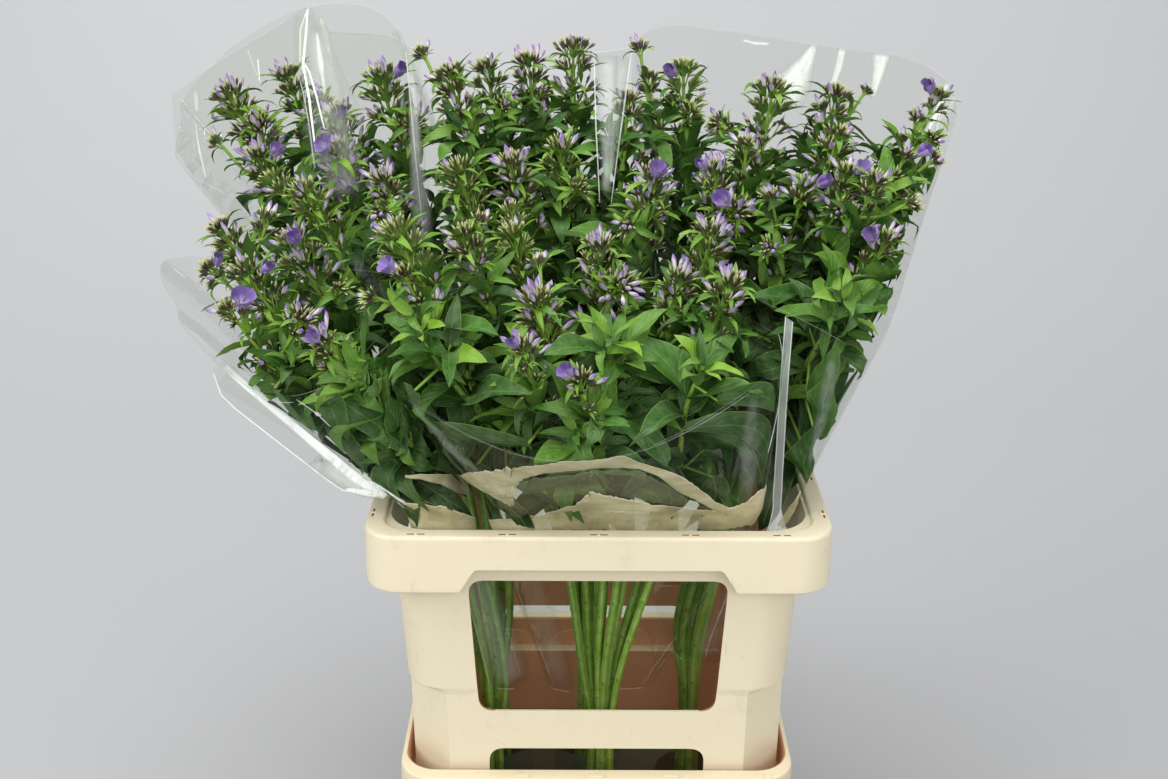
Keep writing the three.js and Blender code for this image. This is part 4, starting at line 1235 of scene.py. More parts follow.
def make_petal():
    """An open petal: violet, paler to its claw, finely veined, with a soft sheen."""
    material, g = new_material("phlox_petal", 0.55, 0.3)
    _, chance, *_ = tint_of(g)
    across, along = place_of(g)
    blade = g.blend(chance, (0.170, 0.085, 0.350, 1), (0.360, 0.260, 0.560, 1))
    colour = g.blend(g.ramp(along, 0.55, 0.0), blade, (0.58, 0.50, 0.66, 1))
    fan = g.times(g.minus(across, 0.5), 14.0)
    vein = g.off(g.maths("FRACT", fan), 0.5)
    deep = g.times(g.ramp(vein, 0.40, 0.5), 0.3)
    colour = g.blend(deep, colour, (0.06, 0.022, 0.20, 1))
    g.wear(Base_Color=colour, Normal=g.bump(vein, 0.25, 0.0004), Sheen_Weight=0.2)
    return material


BUD = make_bud()
CALYX = make_calyx()
PETAL = make_petal()
print("made:", BUD.name, CALYX.name, PETAL.name)

# %% [markdown]
# Phlox leaves stand in opposite pairs, and each pair is a quarter turn from the last. They are
# lance-shaped, folded a little along the midrib, and they arch over. Young ones under the flower
# head are short, bright and steep, and the big dark ones hang lower down. One formula makes all
# of them from a foot, two directions, a length and a width.

# %% Bent leaves
FINE = (11, 7)
PLAIN = (7, 5)


def leaf_shape(t):
    """A leaf's half-breadth at the share t of its length, as a share of the widest."""
    return 1.62 * (t + 0.02) ** 0.50 * (1.0 - t) ** 0.86 * (1.0 - 0.20 * t) + 0.012


def leaf_grids(foot, out, up, length, width, rise, droop, fold, chance, grain=FINE):
    """Many leaves at once. Each starts at foot, leaves the stem at rise above out and arches by
    droop. All arrays start with the number of leaves."""
    rows, columns = grain
    t = np.linspace(0, 1, rows)[None, :]
    angle = rise[:, None] - droop[:, None] * t ** 1.25
    step = length[:, None] / (rows - 1)
    run = np.cumsum(np.cos(angle) * step, 1) - np.cos(angle[:, :1]) * step
    lift = np.cumsum(np.sin(angle) * step, 1) - np.sin(angle[:, :1]) * step
    across = unit(np.cross(out, up))
    spine = foot[:, None] + run[..., None] * out[:, None] + lift[..., None] * up[:, None]
    sway = (0.10 * length * (draw(chance, 3) - 0.5))[:, None] * np.sin(math.pi * t)
    spine = spine + sway[..., None] * across[:, None]
    normal = -np.sin(angle)[..., None] * out[:, None] + np.cos(angle)[..., None] * up[:, None]
    shape = leaf_shape(t)
    s = np.linspace(-1, 1, columns)[None, None, :]
    half = (0.5 * width[:, None] * shape)[..., None]
    phase = 7.0 * draw(chance, 5)[:, None, None]
    wave = 0.06 * width[:, None, None] * np.sin(9.0 * t[..., None] + phase + 2.2 * s) * s ** 2
    wave = wave * np.minimum(1, 3 * (1 - t[..., None]))
    twist = (1.1 * (draw(chance, 9) - 0.5))[:, None, None] * s * half * t[..., None]
    raised = fold[:, None, None] * np.abs(s) ** 1.4 * half + wave + twist
    side = s * half * (1 - 0.18 * fold[:, None, None] ** 2)
    grid = spine[:, :, None] + side[..., None] * across[:, None, None]
    return grid + raised[..., None] * normal[:, :, None]


print("points in a leaf:", FINE[0] * FINE[1], "and in a small one:", PLAIN[0] * PLAIN[1])

# %% [markdown]
# Each stem is a pipe with a swollen ring at each node, where its leaves were or are. It tapers
# towards the flower head.

# %% Stems
STEM_RADIUS = 3.7
NODE_STEP = 46.0
KNOT_HALF = 2.6
TAPER_LENGTH = 230.0


def compass(turn):
    """The level direction at an angle from +X."""
    return np.array([math.cos(turn), math.sin(turn), 0.0])


def along_path(path, below):
    """The points and directions at distances below a path's upper end, and its whole length."""
    far = np.concatenate([[0], np.cumsum(np.linalg.norm(np.diff(path, axis=0), axis=1))])
    way = unit(np.gradient(path, axis=0))
    at = far[-1] - np.atleast_1d(below)
    return between(at, far, path), unit(between(at, far, way)), far[-1]


def add_stem(skin, path, number, top_radius):
    """One stem with its node rings. Points crowd at the nodes and are few between them."""
    length = along_path(path, 0.0)[2]
    nodes = np.arange(17 * draw(number, 4), length, NODE_STEP)
    below = np.concatenate([np.arange(0, length, 15.0), nodes - KNOT_HALF, nodes, nodes + KNOT_HALF])
    below = np.sort(below[(below >= 0) & (below <= length)])[::-1]
    line = along_path(path, below)[0]
    gap = np.abs(below[:, None] - nodes[None]).min(1)
    knot = np.clip(1 - gap / KNOT_HALF, 0, 1)
    thin = np.clip(below / TAPER_LENGTH, 0, 1) ** 0.6
    full = STEM_RADIUS * (0.85 + 0.25 * draw(number, 8))
    radius = (top_radius + (full - top_radius) * thin) * (1 + 0.15 * knot)
    tint = np.stack([np.full(len(line), draw(number, 2)), 0 * knot, knot], -1)
    skin.add_pipe(line, radius, 8, tint[:, None], STEM)


print("a stem's length in mm:", along_path(stem_curves(BUNCHES[0])[0], 0.0)[2].round())

# %% [markdown]
# The leaf pairs are close together under the head and further apart below. No leaf is left on the
# part of the stem that stands in the collar, as a grower strips it. The leaves' lengths and widths
# are listed from the top down, and the last size is for the small pairs at the tip of a shoot.

# %% Large leaves
PAIRS_BELOW = (6, 18, 34, 54, 76, 100, 126, 154, 182, 212, 244, 276)
PAIR_LENGTH = (44, 60, 72, 80, 86, 92, 96, 100, 102, 104, 104, 102, 30)
PAIR_WIDTH = (23, 32, 37, 40, 42, 43, 44, 45, 45, 45, 45, 44, 13)
TIP_SIZE = 12
LOWEST_LEAF = 466.0
STEM_SIDE = 2.4
FILM_GAP = 2.5


def pair_feet(path, number):
    """Where the leaf pairs stand on a stem: place, direction, size step and turn."""
    places, ways, length = along_path(path, PAIRS_BELOW)
    feet = []
    for step, (place, way) in enumerate(zip(places, ways)):
        if place[2] < LOWEST_LEAF or PAIRS_BELOW[step] > length:
            break
        feet.append((place, way, step, step * math.pi / 2 + 3 * draw(number, 6)))
    return feet


def opposite_leaves(feet, seed):
    """Foot, direction, stem direction, size step and chance of both leaves of every pair."""
    foot, out, up, size, chance = [], [], [], [], []
    for k, (place, direction, step, turn) in enumerate(feet):
        for hand in (0, math.pi):
            level_way = compass(turn + hand)
            level_way = unit(level_way - (level_way @ direction) * direction)
            foot.append(place + STEM_SIDE * level_way)
            out.append(level_way)
            up.append(direction)
            size.append(step)
            chance.append(seed * 97 + 2 * k + (hand > 0))
    return [np.array(each) for each in (foot, out, up, size)] + [np.array(chance, float)]


def add_leaves(skin, bunch, feet, seed):
    """The large leaves, kept inside the sleeve."""
    foot, out, up, size, chance = opposite_leaves(feet, seed)
    vary = 0.80 + 0.36 * draw(chance, 1)
    length = np.array(PAIR_LENGTH)[size] * vary
    width = np.array(PAIR_WIDTH)[size] * vary * (0.88 + 0.25 * draw(chance, 2))
    step = np.where(size == TIP_SIZE, 1, size)
    rise = np.radians(56 - 4.0 * step + 30 * (draw(chance, 4) - 0.5))
    droop = np.radians(38 + 7.0 * step + 50 * (draw(chance, 6) - 0.3))
    fold = 0.15 + 0.35 * draw(chance, 7)
    grids = leaf_grids(foot, out, up, length, width, rise, droop, fold, chance)
    grids = ROOMS[bunch["name"]].keep_in(grids, FILM_GAP)
    age = np.clip(0.16 + 0.115 * step + 0.50 * (draw(chance, 12) - 0.5), 0, 1)
    skin.add(grids * MM, np.stack([draw(chance, 11), age], 1), LEAF)
    return len(foot)


print("leaf pairs on a stem:", len(pair_feet(stem_curves(BUNCHES[0])[0], 0)))

# %% [markdown]
# Short side shoots with three small pairs each stand in the angles of the upper leaves and fill
# the bunch. SIDE_SHOOTS names the pairs that can have them, counted from the top, and each bunch
# has its own share of shoots.

# %% Side shoots
SIDE_SHOOTS = (1, 2, 3, 4, 5, 6)
SHOOT_SHARE = {"front": 0.42, "front_left": 0.45, "back_left": 0.62, "back": 0.75, "right": 0.58}
SHOOT_PAIRS = (0.45, 0.78, 1.0)


def add_side_shoots(skin, bunch, feet, seed):
    """Short shoots with three small pairs, in the angles of the upper leaves."""
    shoots = []
    for k, (place, direction, step, turn) in enumerate(feet):
        for hand in (0, math.pi):
            if step not in SIDE_SHOOTS or draw(seed + 3 * k + hand, 21) > SHOOT_SHARE[bunch["name"]]:
                continue
            out = compass(turn + hand + 0.4)
            way = unit(direction + (0.55 + 0.5 * draw(seed + k, 22)) * out)
            reach = 16 + 3.4 * step + 14 * draw(seed + k + hand, 23)
            tip = place + reach * way
            skin.add_pipe(np.linspace(place, tip, 5), [1.5, 1.35, 1.2, 1.0, 0.8], 5,
                          [draw(seed + k, 24), 0.25], STEM)
            for pair, share in enumerate(SHOOT_PAIRS):
                shoots.append((place + share * reach * way, way, pair, turn + 1.6 * pair + 0.8))
    foot, out, up, pair, chance = opposite_leaves(shoots, seed + 300)
    size = np.array([1.0, 0.82, 0.55])[pair]
    length = (34 + 24 * draw(chance, 1)) * size
    width = length * (0.42 + 0.10 * draw(chance, 2))
    rise = np.radians(38 + 10 * pair + 30 * (draw(chance, 4) - 0.5))
    droop = np.radians(40 + 45 * draw(chance, 6))
    fold = 0.2 + 0.3 * draw(chance, 7)
    grids = leaf_grids(foot, out, up, length, width, rise, droop, fold, chance, PLAIN)
    grids = ROOMS[bunch["name"]].keep_in(grids, FILM_GAP)
    skin.add(grids * MM, np.stack([draw(chance, 11), 0.15 + 0.60 * draw(chance, 12)], 1), LEAF)
    return len(foot)


print("small leaves on a side shoot:", 2 * len(SHOOT_PAIRS))

# %% [markdown]
# Some large leaves lie flat against the inside of the film, where they show best. Each entry is
# one leaf: its foot and its tip as thousandths round and up the sleeve, its width in millimetres
# and its age.

# %% Leaves against the film
PRESSED_GAP = 2.2
PRESSED = {
    "front": [
        (150, 970, 35, 740, 44, 0.75), (178, 970, 150, 800, 32, 0.5), (242, 930, 336, 580, 42, 0.8),
        (262, 980, 325, 800, 38, 0.6), (189, 880, 111, 550, 36, 0.9), (215, 820, 245, 500, 36, 0.85),
        (100, 800, 30, 500, 38, 0.9), (60, 930, 985, 700, 36, 0.7), (290, 740, 330, 490, 36, 0.95),
        (160, 720, 190, 480, 34, 0.95), (110, 660, 140, 410, 36, 0.9), (225, 640, 205, 400, 38, 0.95),
        (255, 600, 235, 390, 36, 0.9), (75, 620, 95, 400, 32, 0.85)],
    "front_left": [
        (265, 970, 215, 780, 36, 0.6), (283, 920, 320, 660, 34, 0.75), (361, 960, 450, 760, 36, 0.6),
        (200, 840, 130, 600, 36, 0.8), (120, 900, 60, 700, 34, 0.6)],
    "back_left": [
        (60, 800, 100, 580, 34, 0.7), (160, 860, 120, 620, 36, 0.75), (655, 660, 620, 800, 40, 0.6),
        (625, 780, 590, 900, 36, 0.45), (675, 560, 650, 700, 42, 0.7)],
    "back": [
        (200, 800, 150, 990, 38, 0.5), (330, 780, 370, 980, 38, 0.6), (50, 820, 20, 990, 36, 0.55)],
    "right": [
        (85, 660, 165, 950, 40, 0.45), (105, 500, 145, 740, 38, 0.7), (50, 780, 100, 980, 34, 0.5),
        (300, 600, 340, 860, 38, 0.6), (400, 550, 440, 800, 40, 0.6), (960, 900, 990, 660, 34, 0.6),
        (880, 680, 878, 880, 38, 0.55)],
}


def press_leaves(skin, bunch, paths):
    """Large leaves that lie flat against the inside of the film, each on a short stalk."""
    grid = FILM_GRIDS[bunch["name"]]
    stems = np.concatenate(paths)
    stems = stems[stems[:, 2] > COLLAR_TOP]
    t = np.linspace(0, 1, FINE[0])
    for k, (*shares, width, age) in enumerate(PRESSED[bunch["name"]]):
        foot, low, tip, high = np.array(shares) / 1000
        run = (tip - foot + 0.5) % 1.0 - 0.5
        bow = 0.012 * math.sin(7.0 * k) * np.sin(math.pi * t)
        middle, normal = on_film(grid, foot + run * t + bow, low + (high - low) * t)
        way = unit(np.gradient(middle, axis=0))
        side = unit(np.cross(way, normal))
        s = np.linspace(-1, 1, FINE[1])[None, :, None]
        half = 0.5 * width * leaf_shape(t)[:, None, None]
        depth = 3.0 + 9.0 * (1 - t[:, None, None]) ** 3 + 0.22 * np.abs(s) ** 1.5 * half
        depth = depth + 0.8 * np.sin(8 * t[:, None, None] + k) * s ** 2
        leaf = middle[:, None] + s * half * side[:, None] - depth * normal[:, None]
        leaf = ROOMS[bunch["name"]].keep_in(leaf, PRESSED_GAP)
        skin.add(leaf[None] * MM, [[draw(k, 51), age]], LEAF)
        start = leaf[0, FINE[1] // 2]
        near = stems[np.argmin(np.linalg.norm(stems - start + [0, 0, 12], axis=1))]
        skin.add_pipe(np.linspace(start, near, 5), np.full(5, 1.3), 5, [0.4, 0.2], STEM)
    return len(PRESSED[bunch["name"]])


print("leaves against the film:", sum(len(leaves) for leaves in PRESSED.values()))

# %% [markdown]
# Now each bunch gets all of its stems and leaves, in one piece. A stem without a flower head is a
# leafy shoot, and small pairs crowd its tip.

# %% Leafy stems
def shoot_tip(path, number):
    """Extra small pairs that crowd the tip of a leafy shoot."""
    direction = unit(path[-1] - path[-3])
    return [(path[-1] - below * direction, direction, TIP_SIZE, 1.3 * k + 5 * draw(number, 3))
            for k, below in enumerate((-2, 4, 11))]


def make_leafy_stems(bunch, order):
    """All stems of a bunch with all their leaves, as one piece."""
    skin = Skin(LEAF, STEM)
    feet = []
    for number, path in enumerate(stem_curves(bunch)):
        shoot = number >= len(bunch["heads"])
        seed = 40 * order + number
        add_stem(skin, path, seed, 1.2 if shoot else 2.4)
        feet += pair_feet(path, seed)
        if shoot:
            feet += shoot_tip(path, seed)
    count = add_leaves(skin, bunch, feet, order + 1) + add_side_shoots(skin, bunch, feet, order + 1)
    count += press_leaves(skin, bunch, stem_curves(bunch))
    name = "stems_and_leaves_" + bunch["name"]
    piece = skin.piece(name, ["leafy_stems_" + bunch["name"]], "phlox_leaves")
    return count, len(piece.data.polygons)


for order, bunch in enumerate(BUNCHES):
    print("leaves and faces in", bunch["name"] + ":", *make_leafy_stems(bunch, order))

# %% [markdown]
# A phlox head is a panicle: a stalk with small tufts of buds on side branches. A furled bud is a
# narrow tube that swells to a spindle and ends in a twisted point, and its foot sits in a calyx
# of five dark teeth. In one tuft a few buds are ripe, large and lilac, and most are young, short
# and cream. The rows and radii below are one bud's outline, as shares of its length and in
# millimetres, and numpy turns all buds of a tuft at once.

# %% Buds and calyces
RIPE_ROWS = np.array([0.0, 0.35, 0.58, 0.76, 0.90, 1.0])
RIPE_RADII = np.array([0.7, 1.0, 1.9, 2.2, 1.25, 0.15])
YOUNG_ROWS = np.array([0.0, 0.45, 0.78, 1.0])
YOUNG_RADII = np.array([0.6, 1.0, 0.85, 0.12])
CALYX_ROWS = np.array([0.0, 0.35, 0.70])
CALYX_RADII = np.array([0.55, 1.20, 1.60])
CALYX_LENGTH = 8.2
RIPE_SIDES = 6
YOUNG_SIDES = 5
CALYX_SIDES = 10


def turned(foot, way, rows, radii, sides, bend, teeth=None):
    """Many turned bodies at once: foot and way are (many, 3), rows and radii (many, rows)."""
    side, across = sideways(way, np.where(np.abs(way[:, 2:]) > 0.9, [[1.0, 0, 0]], [[0, 0, 1.0]]))
    angle = np.linspace(0, 2 * math.pi, sides + 1)
    round_it = (np.cos(angle)[None, None, :, None] * side[:, None, None]
                + np.sin(angle)[None, None, :, None] * across[:, None, None])
    length = rows[:, :, None].repeat(sides + 1, 2)
    if teeth is not None:
        is_tooth = np.arange(sides + 1) % 2
        length[:, -1] = length[:, -1] + teeth[:, None] * is_tooth[None]
    spine = foot[:, None, None] + length[..., None] * way[:, None, None]
    spine = spine + (length ** 2)[..., None] * bend[:, None, None]
    return spine + radii[:, :, None, None] * round_it


def add_buds(skin, feet, ways, lengths, tints, number):
    """Calyx and furled bud of each. Ripe ones are fatter and have more facets."""
    index = np.arange(len(feet)) + 1000.0 * number
    stout = (0.85 + 0.25 * draw(index, 3)) * np.minimum(1.0, lengths / 12.0) ** 0.5
    bend = unit(np.cross(ways, [0.3, 0.2, 0.9])) * (0.006 * (draw(index, 3) - 0.5))[:, None]
    cup = np.minimum(CALYX_LENGTH * (0.90 + 0.3 * draw(index, 4)), 0.76 * lengths)
    body = turned(feet, ways, cup[:, None] * CALYX_ROWS, np.outer(stout, CALYX_RADII), CALYX_SIDES,
                  bend, 0.3 * cup)
    skin.add(body * MM, tints, CALYX)
    ripe = tints[:, 0] > 0.5
    for chosen, rows, radii, sides in ((ripe, RIPE_ROWS, RIPE_RADII, RIPE_SIDES),
                                       (~ripe, YOUNG_ROWS, YOUNG_RADII, YOUNG_SIDES)):
        if chosen.any():
            bud = turned(feet[chosen], ways[chosen], lengths[chosen, None] * rows,
                         np.outer(stout[chosen], radii), sides, bend[chosen])
            skin.add(bud * MM, tints[chosen], BUD)


print("faces of a ripe bud and its calyx:", 5 * RIPE_SIDES + 2 * CALYX_SIDES)

# %% [markdown]
# The directions of buds that fan out follow the golden angle, which spreads any number of them
# evenly, with no row and no gap. Between the buds stand bracts, which are small leaves, and here
# and there a flower is about to open.

# %% Twigs, bracts and open flowers
GOLDEN = math.pi * (3 - math.sqrt(5))


def fan(axis, count, widest, start):
    """count directions that fan out from axis up to the angle widest."""
    k = np.arange(count)
    polar = widest * np.sqrt((k + 0.3) / count)
    turn = GOLDEN * k + start
    return aimed(axis, polar, turn)


def aimed(axis, polar, turn):
    """Directions at the angles polar from axis, turned by turn about it."""
    polar, turn = np.broadcast_arrays(np.asarray(polar, float), np.asarray(turn, float))
    side, across = sideways(axis, [1.0, 0, 0] if abs(axis[2]) > 0.9 else [0, 0, 1.0])
    ring = np.cos(turn)[..., None] * side + np.sin(turn)[..., None] * across
    return np.cos(polar)[..., None] * axis + np.sin(polar)[..., None] * ring


def add_twig(skin, start, end, radius, chance):
    """A short green side branch that rises at its end."""
    line = np.linspace(start, end, 4)
    line[1:3] += 0.08 * np.linalg.norm(end - start) * np.array([0, 0, -1.0])
    skin.add_pipe(line, np.array([1.15, 1.0, 0.95, 1.0]) * radius, 5, [chance, 0.75], STEM)


def add_bracts(skin, feet, ways, ups, lengths, seed, age, slim=0.30):
    """Small bright leaves among the buds."""
    index = np.arange(len(feet)) + 31.0 * seed
    out = unit(ways - np.sum(ways * ups, 1, keepdims=True) * ups + 1e-6)
    rise = np.radians(50 + 50 * (draw(index, 2) - 0.5))
    droop = np.radians(30 + 85 * draw(index, 3))
    widths = lengths * (slim + 0.10 * draw(index, 5))
    grids = leaf_grids(feet, out, ups, lengths, widths, rise, droop, 0.25 + 0.3 * draw(index, 6),
                       index, PLAIN)
    skin.add(grids * MM, np.stack([draw(index, 8), np.clip(age + 0.22 * draw(index, 9), 0, 1)], 1), LEAF)


def add_open_flower(skin, foot, way, size, seed):
    """A flower on the point of opening: a slim tube and five broad petals that still overlap."""
    side, across = sideways(way, [0.2, 0.1, 1.0])
    tube = turned(foot[None], way[None], size * np.array([[0.0, 0.35, 0.7, 0.9]]),
                  np.array([[0.8, 0.95, 1.3, 2.2]]), 8, np.zeros((1, 3)))
    skin.add(tube * MM, [[0.95, 0.7, 0.5]], BUD)
    mouth = foot + way * size * 0.85
    t = np.linspace(0, 1, 8)[:, None]
    s = np.linspace(-1, 1, 7)[None, :]
    for k in range(5):
        turn = 2 * math.pi * k / 5 + 6 * draw(seed, 2)
        lean = 0.12 + 0.42 * draw(seed, 5) + 0.25 * (draw(seed + k, 5) - 0.5)
        long = size * (1.30 + 0.25 * draw(seed + k, 6))
        bow = np.sin(math.pi * t) * 0.16 * long * (1 - s ** 2)
        radial = 1.2 + long * t * math.sin(lean) + bow * math.cos(lean)
        height = long * t * math.cos(lean) - bow * math.sin(lean) * 0.6 - 0.10 * long * t ** 3
        half_turn = 0.75 * s * np.sin(np.minimum(1.0, 0.25 + t) * math.pi * 0.56)
        half_turn = half_turn * np.where(t > 0.9, 0.8, 1)
        angle = turn + half_turn * (1.05 - 0.35 * math.sin(lean)) + 0.3 * t
        ring = np.cos(angle)[..., None] * side + np.sin(angle)[..., None] * across
        grid = mouth + (radial + 0.4 * s)[..., None] * ring + height[..., None] * way
        skin.add(grid[None] * MM, [[0.9, draw(seed + k, 7), 0.4]], PETAL)


print("a fan of three:", fan(np.array([0, 0, 1.0]), 3, 0.6, 0.0).round(2).tolist())

# %% [markdown]
# A tuft is a handful of buds on thin stalks that come from one node. Two numbers go with each kind
# of head: the share of its buds that are ripe, and how dark its calyces are.

# %% Tufts
KINDS = {"dark": (0.12, 1.0), "lilac": (0.24, 0.80), "mixed": (0.16, 0.85), "green": (0.05, 0.40)}


def add_tuft(skin, node, way, axis, count, reach, kind, number):
    """A tuft: buds that fan out from one node, ripe ones longer than young ones."""
    ripe_share, dark = KINDS[kind]
    index = np.arange(count) + 7.0 * number
    ways = fan(way, count, math.radians(44), 6 * draw(number, 3))
    ways = unit(ways + 0.38 * axis + 0.12 * (np.stack([draw(index, k) for k in (31, 32, 33)], 1) - 0.5))
    ripe = draw(index, 6) < ripe_share
    level = np.where(ripe, 0.62 + 0.38 * draw(index, 5), 0.30 * draw(index, 5))
    lengths = np.where(ripe, 17.0 + 6.0 * draw(index, 7), 9.0 + 4.5 * draw(index, 7))
    lengths = np.minimum(lengths, 1.35 * reach)
    stalk = np.maximum(reach - lengths, 0.12 * reach) * (0.65 + 0.35 * draw(index, 8))
    feet = node + ways * stalk[:, None]
    stalks = turned(np.repeat([node], count, 0), ways, stalk[:, None] * np.array([0.0, 1.0]),
                    np.full((count, 2), 0.55), 4, np.zeros((count, 3)))
    skin.add(stalks * MM, [[draw(number, 9), 0.8]], STEM)
    shade = np.clip(dark + 0.35 * (draw(index, 10) - 0.5), 0, 1)
    tints = np.stack([level, draw(index, 11), shade], 1)
    add_buds(skin, feet, ways, lengths, tints, number)
    return count


print("kinds of head:", *KINDS)

# %% [markdown]
# The clusters of the layout say where the tufts go. The tufts of a full cluster stand on four
# levels: one on top, and three rings that lean out more and more. Each level is given by its lean,
# its height as a share of the cluster's radius, its number of tufts and the buds in each.

# %% Clusters
LEVELS = ((0.0, 0.30, 1, 7), (0.62, 0.02, 4, 5), (0.95, -0.50, 4, 5), (1.15, -1.10, 4, 4))
FULL_RADIUS = 22.0


def add_twig_leaves(skin, fork, centre, axis, seed):
    """Two pairs of small leaves on a twig that would be bare."""
    for step, share in enumerate((0.35, 0.62)):
        turn = np.array([0.0, math.pi]) + 1.6 * step + 6 * draw(seed, 19)
        node = fork + share * (centre - fork)
        add_bracts(skin, np.array([node, node]), aimed(axis, 1.0, turn), np.array([axis, axis]),
                   np.array([27.0, 24.0]), seed + 40 * step, 0.10, 0.36)


def add_cluster(skin, cluster, fork, kind, seed):
    """The tufts of one cluster on their twigs, with the bracts below them."""
    centre, radius = np.array(cluster[:3], float), float(cluster[3])
    axis = unit(centre - fork)
    size = radius / FULL_RADIUS
    add_twig(skin, fork, centre, 1.6, draw(seed, 1))
    if np.linalg.norm(centre - fork) > 2.2 * radius:
        add_twig_leaves(skin, fork, centre, axis, seed)
    total = 0
    for level, (polar, height, tufts, buds) in enumerate(LEVELS):
        if size < 0.72 and level > 1 or size < 0.88 and level > 2:
            continue
        tufts = max(1, round(tufts * min(1.1, size ** 0.6)))
        start = 6 * draw(seed, 2) + 0.6 * level
        for k in range(tufts):
            number = 30 * seed + 8 * level + k
            turn = start + 2 * math.pi * (k + 0.3 * draw(number, 4)) / tufts
            way = aimed(axis, polar + 0.3 * (draw(number, 12) - 0.5), turn)
            flat = aimed(axis, min(polar, 1.2), turn)
            node = centre + height * radius * axis + 0.32 * radius * flat * (level > 0)
            add_twig(skin, centre + (height - 0.25) * radius * axis, node, 0.8, draw(number, 13))
            count = max(3, round(buds * size))
            total += add_tuft(skin, node, way, axis, count, 0.80 * radius, kind, number)
            if level:
                out = np.array([way, aimed(axis, polar + 0.25, turn + 0.55)])
                add_bracts(skin, np.array([node, node]) - 1.5 * axis, out, np.array([axis, axis]),
                           radius * (0.85 + 0.55 * draw(number + np.arange(2), 14)), number, 0.0)
    return total


print("tufts in a full cluster:", sum(level[2] for level in LEVELS))

# %% [markdown]
# A head is its clusters, with small tufts in the angles of the leaf pairs just below. Open flowers
# are few, and OPEN_FLOWERS says how many each numbered head has.

# %% Flower heads
OPEN_FLOWERS = {2: 1, 6: 1, 7: 1, 13: 2, 14: 1, 15: 1, 16: 1, 19: 1, 20: 1, 21: 1, 22: 1, 32: 1,
                35: 1, 38: 2, 39: 1, 42: 1, 43: 1, 44: 1, 46: 1}


def add_side_tufts(skin, base, axis, kind, number):
    """Small tufts in the angles of the leaf pairs just below the head."""
    total = 0
    for ring, below in enumerate((0.0, 14.0, 30.0)):
        for hand in (0, 1):
            chance = number + 50 * ring + 25 * hand
            turn = 3 * draw(number, 6) + ring * math.pi / 2 + hand * math.pi
            way = aimed(axis, 0.75, turn)
            start = base - below * axis
            node = start + (8 + 5 * ring + 6 * draw(chance, 15)) * way
            add_twig(skin, start, node, 0.9, draw(chance, 16))
            total += add_tuft(skin, node, way, axis, 4, 12.0, kind, 900 + chance)
            add_bracts(skin, node[None] - 2 * axis, way[None], axis[None], np.array([17.0]), chance, 0.05)
    return total


def make_head(bunch, kind, clusters, number):
    """One flower head as a piece of its own."""
    skin = Skin(BUD, CALYX, PETAL, STEM, LEAF)
    axis, _, base = head_axis(bunch, clusters)
    fork = base + 5 * axis
    add_twig(skin, base - 2 * axis, fork, 2.2, draw(number, 3))
    count = add_side_tufts(skin, base, axis, kind, number)
    for k, cluster in enumerate(clusters):
        count += add_cluster(skin, cluster, base if k == 0 else fork, kind, 10 * number + k)
    for k in range(OPEN_FLOWERS.get(number, 0)):
        *place, radius = clusters[k % len(clusters)]
        turn = -math.pi / 2 + 2.2 * (draw(number + 5 * k, 6) - 0.5)
        way = unit(np.array([math.cos(turn), math.sin(turn), 0.55 + 0.5 * draw(number + k, 17)]))
        foot = np.array(place) + 0.45 * radius * way
        add_open_flower(skin, foot, way, 9.5 + 3 * draw(number + k, 18), 3 * number + k)
    node = "flower_head_%02d" % number
    piece = skin.piece(node + "_buds", [node], "phlox_buds")
    return count, len(piece.data.polygons)


number = buds = faces = 0
for bunch in BUNCHES:
    for kind, clusters in bunch["heads"]:
        number += 1
        made, size = make_head(bunch, kind, clusters, number)
        buds += made
        faces += size
print("heads:", number, "buds:", buds, "faces:", faces)

# %% [markdown]
# The sleeves are thin clear film. Film shows only by what it mirrors, so its material is a mirror
# seen at the small share that a film sends back, and clear for the rest. The share grows at a
# glancing angle, which draws the edges of each cone. Where sharp folds, welds and the cut edge would
# send far more light back, a painted highlight stands in: a ribbon that lies on the film, whitish
# and faintly glowing.

# %% Film materials
CLEAR_TINT = (0.922, 0.936, 0.906, 1)
FILM_INDEX = 1.5


def film_mix(g, amount):
    """Shows the surface by amount, and is clear for the rest."""
    clear = g.node("BsdfTransparent")
    clear.inputs["Color"].default_value = CLEAR_TINT
    mix = g.node("MixShader")
    g.join(amount, mix.inputs[0])
    g.join(clear.outputs[0], mix.inputs[1])
    g.join(g.surface.outputs[0], mix.inputs[2])
    g.join(mix.outputs[0], g.tree.nodes["Material Output"].inputs["Surface"])


def make_film():
    """Clear film with soft long ripples, a little cloudier where it is gathered at the rim."""
    material, g = new_material("clear_film", 0.07, 0.5)
    _, along = place_of(g)
    where = g.where()
    long_ripple = g.noise(where, 16.0, 3.0, 0.55, stretch=(1.0, 1.0, 0.22))
    normal = g.bump(long_ripple, 0.30, 0.010)
    g.wear(Base_Color=(0.95, 0.96, 0.95, 1), Metallic=1.0, Normal=normal)
    glance = g.node("Fresnel")
    glance.inputs["IOR"].default_value = FILM_INDEX
    g.join(normal, glance.inputs["Normal"])
    amount = g.minus(glance.outputs[0], 0.040, clamp=True)
    above = g.plus(g.times(g.ramp(along, 0.46, 0.80), 0.42), 0.10)
    amount = g.maths("MINIMUM", g.times(amount, above), 0.14)
    gathered = g.times(g.ramp(along, 0.36, 0.42), g.ramp(along, 0.52, 0.43))
    streak = g.ramp(g.noise(where, 60.0, 3.0, 0.6, stretch=(1.0, 1.0, 0.15)), 0.52, 0.72)
    cloudy = g.times(g.times(gathered, streak), 0.12)
    film_mix(g, g.plus(amount, cloudy, clamp=True))
    return material


